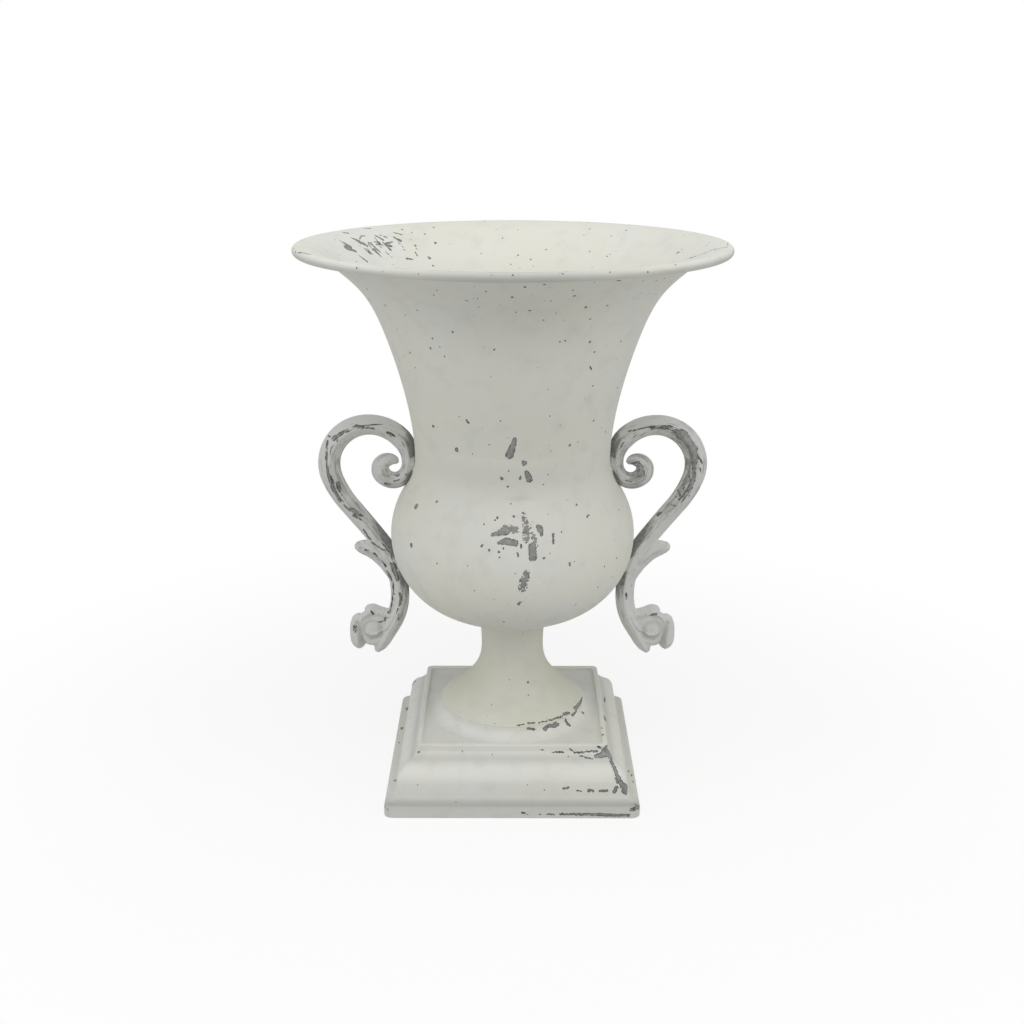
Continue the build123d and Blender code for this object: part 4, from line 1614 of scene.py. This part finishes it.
PLINTH_FLAKES = flakes(
    (8.8, -40, 39, 0.85, 12.2, -39.2, 38, 0.8), (18.4, -36.8, 37.4, 1.6),
    (19.7, -36, 38.4, 1.25, 24.9, -32.6, 37.6, 1.45),
    (23.7, -33.5, 39.4, 1.1, 25.7, -32.1, 37.4, 1), (34.4, -22.3, 39.5, 2.05, 36.3, -19, 40.1, 1.9),
    (30, -28, 38.3, 1, 32.1, -28.4, 35.1, 0.95), (40.5, -13.2, 35.3, 1.15),
    (15.2, -52.3, 32.3, 0.45, 17.1, -52.3, 32.2, 0.45),
    (21.3, -52.6, 30.8, 0.3, 22.9, -52.6, 30.8, 0.3), (23.6, -52.5, 31, 0.5, 28.2, -52.5, 31, 0.5),
    (30.6, -53.9, 29.1, 0.4), (31.8, -52.3, 32.9, 0.6, 34, -52.5, 31, 0.5),
    (34, -52.6, 30.9, 0.4, 39.8, -52.4, 31.1, 0.5),
    (39.8, -52.4, 31.1, 0.5, 46.1, -52.3, 31.5, 0.8),
    (36.9, -53.6, 29.5, 0.4, 43.6, -54.7, 28.1, 0.5),
    (46.7, -52.3, 34.2, 0.7, 52, -50.7, 32.7, 0.9), (45.8, -53.7, 29.3, 1.15, 53, -51.9, 29.7, 2.4),
    (51.7, -51.2, 31.2, 3.4, 53.7, -53.5, 28.4, 1.5), (-27.3, -52.3, 31.3, 0.6),
    (-51.4, -52.2, 30.7, 0.7, -50.8, -52.4, 30.8, 0.6), (-10.9, -53.3, 29.8, 0.4),
    (55.6, 24.1, 27.1, 0.75, 55.2, 17.1, 27.6, 0.8), (53.4, -7, 29.7, 1.5, 53.7, -9.5, 29.2, 1.5),
    (50.3, -31.8, 35.2, 0.65), (50, -40, 35.2, 1), (53.9, -54.4, 27.8, 1.2, 55.9, -59.4, 24, 1.1),
    (55.9, -59.4, 24, 1.1, 57.7, -62.3, 20.3, 1.45),
    (57.7, -62.3, 20.3, 1.05, 61.9, -62.3, 13.3, 2.6), (62.3, -62, 12.5, 2, 64.4, -64.4, 8.2, 0.6),
    (56.4, -62.4, 20.1, 0.75, 57.1, -62.9, 18.2, 0.75),
    (66.3, -29.3, 7, 0.45, 66.4, -30.3, 7, 0.45), (67.5, -34, 7, 0.65, 67.6, -35.6, 7, 0.5),
    (67.7, -40.4, 7, 0.5, 67.6, -42.4, 7, 0.5), (17.7, -63, 13.8, 0.5),
    (28.3, -63, 14.7, 0.95, 30.3, -63, 15.2, 0.85), (35, -63, 13.5, 0.45, 37.7, -63, 12.9, 0.45),
    (41.7, -63, 13.3, 1.2, 43.8, -63, 13.1, 0.85), (47.9, -63, 13.1, 0.85, 51.5, -63, 13.3, 0.85),
    (55.6, -63, 12.7, 1.1, 56.7, -63, 15.1, 1.2), (-65, -41.2, 7.2, 1.3), (-30.4, -65, 7.2, 0.4),
    (-51.3, -63, 16.7, 0.4), (5.6, -69.5, 3.5, 0.65, 8.7, -69.5, 2.3, 0.3), (15.1, -69.5, 2.7, 0.6),
    (18.6, -69.5, 2.7, 0.55, 22.7, -69.5, 2.4, 0.65),
    (26.3, -69.5, 2.7, 0.75, 43.3, -69.5, 2.5, 0.95), (43.3, -69.5, 2.5, 1.1, 63.2, -69.5, 2, 0.95),
    (64.3, -69.5, 5.2, 1, 68.4, -67.6, 5.9, 1.35),
    (-61.9, 54.8, 21.2, 1.5, -60.8, 54.7, 22.8, 1.25),
    (-64.8, 49.5, 7.4, 1.75, -64.9, 48.2, 7.3, 1.5), (-66.6, 23.3, 7, 0.75, -66.7, 21.5, 7, 0.65),
    (-66.9, 4.4, 7, 0.5, -66.9, 3.8, 7, 0.5),
)
RIGHT_FLAKES = flakes(
    (62.9, -3.5, 199.3, 0.45, 68.4, -4.5, 200.7, 0.75),
    (68.4, -4.5, 200.7, 0.6, 76.1, -4.8, 202.1, 0.7),
    (76.1, -4.8, 202.1, 0.6, 85.3, -4.5, 201.8, 1.2),
    (85.3, -4.6, 201.7, 1.2, 93.7, -4.4, 197.8, 2.15),
    (93.9, -4.4, 197.5, 2.1, 98.7, -5, 190.1, 2.65),
    (97.8, -5.3, 190.8, 2.5, 98.7, -5.2, 183.7, 1.55),
    (100.9, -4.8, 185.7, 0.8, 103.9, -3.2, 181.1, 0.7),
    (97.7, -4.3, 181.7, 0.9, 100, -5.6, 178.8, 0.7),
    (102.5, -4.3, 178.7, 0.55, 103.5, -3.2, 174.3, 0.6),
    (96.4, -2.9, 177.7, 0.75, 97.1, -4.8, 171.8, 0.65),
    (97.1, -4.5, 172.9, 0.65, 98.5, -4.8, 167.6, 0.65),
    (93.9, -2.2, 170.7, 0.7, 94.5, -4.9, 165.2, 0.6),
    (91.2, -2.1, 165.6, 0.85, 92.4, -4.5, 162.7, 0.6),
    (95.3, -4.9, 167, 0.45, 97.4, -3.9, 162.8, 0.45),
    (89.9, -2.8, 162, 0.75, 91.2, -4.3, 161.2, 0.75),
    (87.9, -3.7, 157.8, 0.45, 89.8, -5.1, 157, 0.45),
    (80.6, -1.9, 151.2, 1, 82.3, -2.6, 152.4, 0.95),
    (64.2, -4.4, 105.1, 0.7, 64.3, -4.3, 101.9, 0.7), (78.5, -3.7, 91.7, 1.05, 81, -3.6, 92.3, 1.2),
)
LEFT_FLAKES = flakes(
    (-100.6, -1.2, 195.8, 0.45, -99.2, -2.5, 195.5, 0.45),
    (-97.2, -4, 195.1, 1.6, -92.5, -4.6, 198.3, 1.05),
    (-92.5, -4.6, 198.3, 1.05, -84.5, -4.5, 202.1, 1.05),
    (-84.5, -4.5, 202.1, 0.9, -81.3, -4.9, 201.9, 0.7),
    (-81.3, -4.9, 202, 0.75, -78.2, -4.5, 202.8, 0.6),
    (-78.2, -4.5, 202.8, 0.45, -70.7, -3.7, 202.8, 0.4),
    (-67.9, -5.3, 198.7, 0.8, -64, -5.2, 196.7, 0.55),
    (-62.9, -4.9, 196.5, 0.3, -61.3, -3.8, 197.4, 0.3),
    (-58.4, -3.6, 174.4, 0.7, -54.6, -8.7, 174.4, 1.5),
    (-64.1, -2.5, 173.6, 0.85, -61.9, -2.8, 174.2, 0.65),
    (-69.6, -3, 169.1, 1.25, -67.4, -3, 168.5, 1),
    (-101, -2.5, 192.9, 0.95, -101.6, -4.5, 184.6, 0.95),
    (-101.6, -4.5, 184.4, 0.95, -100.7, -5.1, 174.5, 1.1),
    (-100.7, -5.1, 174.2, 1.15, -98.3, -4.3, 165.6, 1.45),
    (-98.1, -4.6, 166, 1.25, -95.1, -3.9, 159.3, 1.1), (-94.7, -1.5, 174.9, 1),
    (-95.8, -4.5, 169.5, 1.45, -94.8, -4.9, 165.8, 1.2),
    (-92.6, -4.1, 156.6, 0.9, -87.9, -5.1, 153.9, 1.55),
    (-87.7, -5.1, 153.6, 1.55, -83.1, -4.1, 150.8, 0.6),
    (-87.6, -4.4, 151.2, 1.3, -83.6, -5.1, 148.7, 0.45),
    (-82.6, -3.2, 142.2, 0.95, -79.5, -2.5, 136.9, 1.05),
    (-77.9, -2.2, 134.2, 1.15, -70.9, -4.8, 130.7, 0.75),
    (-77, -4.1, 128.6, 0.8, -71, -3, 120.7, 0.65),
    (-70.3, -2.9, 117.4, 1.15, -68.4, -1.8, 112.5, 1.3),
    (-67.1, -4.7, 122.3, 1.75, -64.9, -4.5, 113.8, 1.6),
    (-63.1, -4.8, 104.9, 0.95, -62.6, -4.6, 100.4, 0.95),
    (-65, -4.3, 95.9, 0.85, -64.6, -4, 88.4, 0.7), (-67.2, -2.1, 103.8, 0.95),
    (-67.1, -2.7, 110.9, 0.8, -68.9, -1.4, 95.3, 0.9),
    (-68.9, -1.5, 95, 0.9, -72.6, -2.5, 87.8, 0.6),
    (-72.8, -2.8, 87.6, 0.55, -77.5, -3.6, 86.9, 0.5), (-85.1, -2.7, 131.6, 0.75),
    (-82.2, -3, 130.6, 0.75, -80.3, -3.6, 130.2, 0.7),
    (-89.9, -2.9, 84.1, 1.25, -89.7, -3.3, 81.7, 1.05),
    (-80.3, -3.4, 93.9, 0.6, -78.5, -3.9, 92.2, 0.95),
)
RIM_RUBS = (
    WearZone((-78.0, 52.0, 291.0), (17.0, 18.0, 9.0), 0.38),
    WearZone((-112.5, 2.0, 298.0), (4.0, 9.0, 3.0), 0.36),
)
BELL_RUBS = (
    WearZone((24.0, -33.0, 41.2), (9.0, 7.0, 1.6), 0.4),
    WearZone((36.0, -17.0, 41.2), (5.0, 7.0, 1.6), 0.42),
)
PLINTH_RUBS = (
    WearZone((24.0, -35.0, 37.5), (8.0, 5.0, 2.6), 0.36),
    WearZone((38.0, -52.3, 31.0), (12.0, 2.5, 1.6), 0.36),
    WearZone((51.0, -52.0, 31.0), (4.0, 4.0, 3.5), 0.5),
    WearZone((57.5, -58.5, 21.0), (3.0, 3.0, 6.0), 0.4),
    WearZone((61.5, -62.0, 15.0), (3.5, 3.0, 4.0), 0.48),
    WearZone((46.0, -63.2, 13.2), (12.0, 2.0, 1.4), 0.36),
    WearZone((45.0, -69.5, 2.4), (18.0, 2.0, 1.2), 0.36),
    WearZone((67.5, -68.0, 5.8), (3.0, 3.0, 2.0), 0.55),
    WearZone((-67.5, -68.0, 4.5), (4.5, 4.5, 3.5), 0.34),
)
# Painted shade on the neck: darker paint round the bead, most at its front, under the rim's
# overhang, over the front above the waist, and a small spot at the front right.
NECK_PAINTED_SHADE = (
    RingZone((114.4, 297.0), (2.0, 1.8), 0.4),
    WearZone((0.0, -112.0, 297.5), (64.0, 24.0, 4.0), 0.75),
    WearZone((0.0, -80.0, 278.0), (50.0, 45.0, 22.0), 0.25),
    WearZone((0.0, -55.0, 202.0), (60.0, 30.0, 26.0), 0.16),
    WearZone((38.0, -42.0, 227.0), (3.5, 6.0, 5.0), 0.3),
)
# Painted shade on the bowl: darker paint across the front at the waist, under the belly and in the
# dent's hollow.
BOWL_PAINTED_SHADE = (
    WearZone((0.0, -53.0, 187.0), (60.0, 30.0, 9.0), 0.24),
    WearZone((0.0, -45.0, 106.0), (60.0, 45.0, 14.0), 0.26),
    WearZone((3.5, -57.0, 176.5), (8.0, 8.0, 1.4), 0.36),
)
# Painted shade on the stem: darker paint over its upper front, under the bowl.
STEM_PAINTED_SHADE = (WearZone((0.0, -17.0, 80.0), (30.0, 25.0, 16.0), 0.22),)
# Painted shade on the plinth: darker paint along the lip's front and top, along the tray's sides,
# over the cove below the border, at the foot, in a spot at the lip's left front, round the seat's
# cove and in the tray's corners.
PLINTH_PAINTED_SHADE = (
    WearZone((0.0, -67.0, 7.2), (EVERYWHERE, 5.0, 2.5), 1.0),
    WearZone((0.0, 0.0, 7.0), (EVERYWHERE, EVERYWHERE, 0.9), 0.3),
    WearZone((-48.0, -12.0, 34.5), (4.5, 34.0, 2.0), 0.36),
    WearZone((48.0, -12.0, 34.5), (4.5, 34.0, 2.0), 0.26),
    WearZone((0.0, 0.0, 28.2), (EVERYWHERE, EVERYWHERE, 2.2), 0.45),
    WearZone((0.0, 0.0, 1.0), (EVERYWHERE, EVERYWHERE, 1.4), 0.2),
    WearZone((-62.0, -66.0, 7.0), (6.0, 4.0, 2.0), 0.8),
    RingZone((48.7, 33.7), (1.1, 0.6), 0.2),
    RingZone((66.0, 33.7), (16.0, 1.2), 0.24),
)
RIGHT_RUBBED = (
    (-77, 0.42), (-58, 0.45), (-45, 0.3), (-10, 0.3), (4, 0.38), (9, 0.6), (14, 0.85), (30, 0.85),
    (36, 0.58), (46, 0.5), (56, 0.46), (64, 0.25), (72, 0.1), (160, 0.0),
)
# Thin paint along the right handle, raised along the curl as painted shade round its inner hole and
# underside.
RIGHT_THIN_PAINT_AND_SHADE = (
    (-77, 0.6), (-52, 0.62), (-40, 0.45), (-8, 0.3), (8, 0.4), (20, 0.5), (40, 0.52), (58, 0.48),
    (72, 0.33), (88, 0.2), (160, 0.12),
)
LEFT_RUBBED = (
    (-77, 0.1), (-58, 0.3), (-50, 0.3), (-30, 0.2), (-15, 0.3), (8, 0.36), (45, 0.36), (60, 0.4),
    (80, 0.4), (110, 0.38), (130, 0.36), (142, 0.2), (152, 0.0), (160, 0.0),
)
LEFT_THIN = (
    (-77, 0.3), (-52, 0.4), (-30, 0.25), (0, 0.18), (30, 0.32), (60, 0.42), (82, 0.45), (110, 0.4),
    (135, 0.3), (150, 0.15), (160, 0.1),
)


def dress_fasteners() -> None:
    """Gives the screws, washers, bolt, nut and seal that stay as solids their finishes."""
    steel = ("handle_screws", "handle_washers", "tie_washer", "tie_bolt", "base_washer", "tie_nut")
    for finish, names in ((ZincPlatedSteel(), steel), (MouldedRubber(), ("sealing_washer",))):
        material = finish.build()
        for name in names:
            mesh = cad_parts[name].data
            mesh.materials.clear()
            mesh.materials.append(material)
            LOG.info("%s: %s", name, finish.name)


def main() -> None:
    """Builds the pieces in order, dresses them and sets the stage."""
    logging.basicConfig(level=logging.INFO, format="%(message)s")
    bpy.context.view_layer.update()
    body, stem, plinth = SpunBody(), BellStem(), SquarePlinth()
    neck_paint = DistressedPaint(
        "chalk_paint_on_spun_neck", speck_size=0.23, flakes=NECK_FLAKES
    ).build()
    bowl_paint = DistressedPaint(
        "chalk_paint_on_spun_bowl", flakes=BOWL_FLAKES, crumbs=BOWL_CRUMBS
    ).build()
    foot_paint = DistressedPaint(
        "chalk_paint_on_spun_foot", "#DFDFD3", "#DADAC8", speck_size=0.12, flakes=STEM_FLAKES
    ).build()
    # Painted light: the plinth's paint is a little lighter than the neck's and bowl's, to brighten
    # its faces.
    plinth_paint_lightened = DistressedPaint(
        "chalk_paint_on_plinth_lightened", "#E8E8E4", "#E7E7DE", speck_size=0.1, flakes=PLINTH_FLAKES
    ).build()
    casting = DistressedPaint(
        "chalk_paint_on_right_casting", "#D7D8D6", "#D4D5D1", speck_mm=2.2, speck_size=0.17,
        drawn_specks=True, bite_depth=1.5, edge_mm=0.48, edge_share=0.09, flakes=RIGHT_FLAKES,
    )
    right_paint = casting.build()
    casting = replace(casting, name="chalk_paint_on_left_casting", flakes=LEFT_FLAKES)
    left_paint = casting.build()
    neck = body.turned("neck_piece", body.neck_line(), RIM_RUBS, NECK_PAINTED_SHADE, draw=0.3)
    dress(neck, neck_paint, ("neck_trumpet",))
    bowl = body.turned("bowl_piece", body.bowl_line(), (), BOWL_PAINTED_SHADE)
    dress(bowl, bowl_paint, ("bowl",))
    foot = body.turned("stem_piece", stem.line(), BELL_RUBS, STEM_PAINTED_SHADE)
    dress(foot, foot_paint, ("stem_foot",))
    dress(plinth.build(PLINTH_RUBS, PLINTH_PAINTED_SHADE), plinth_paint_lightened, ("plinth",))
    skin = body.skin()
    right = ScrollHandle(Side.RIGHT, RIGHT_RUBBED, RIGHT_THIN_PAINT_AND_SHADE, rub_width=0.5)
    left = ScrollHandle(Side.LEFT, LEFT_RUBBED, LEFT_THIN, rub_width=0.4)
    dress(right.build(skin), right_paint, ("handle_right",))
    dress(left.build(skin), left_paint, ("handle_left",))
    dress_fasteners()
    studio = Studio()
    studio.floor()
    studio.light()
    studio.camera()


if __name__ == "__main__":
    main()
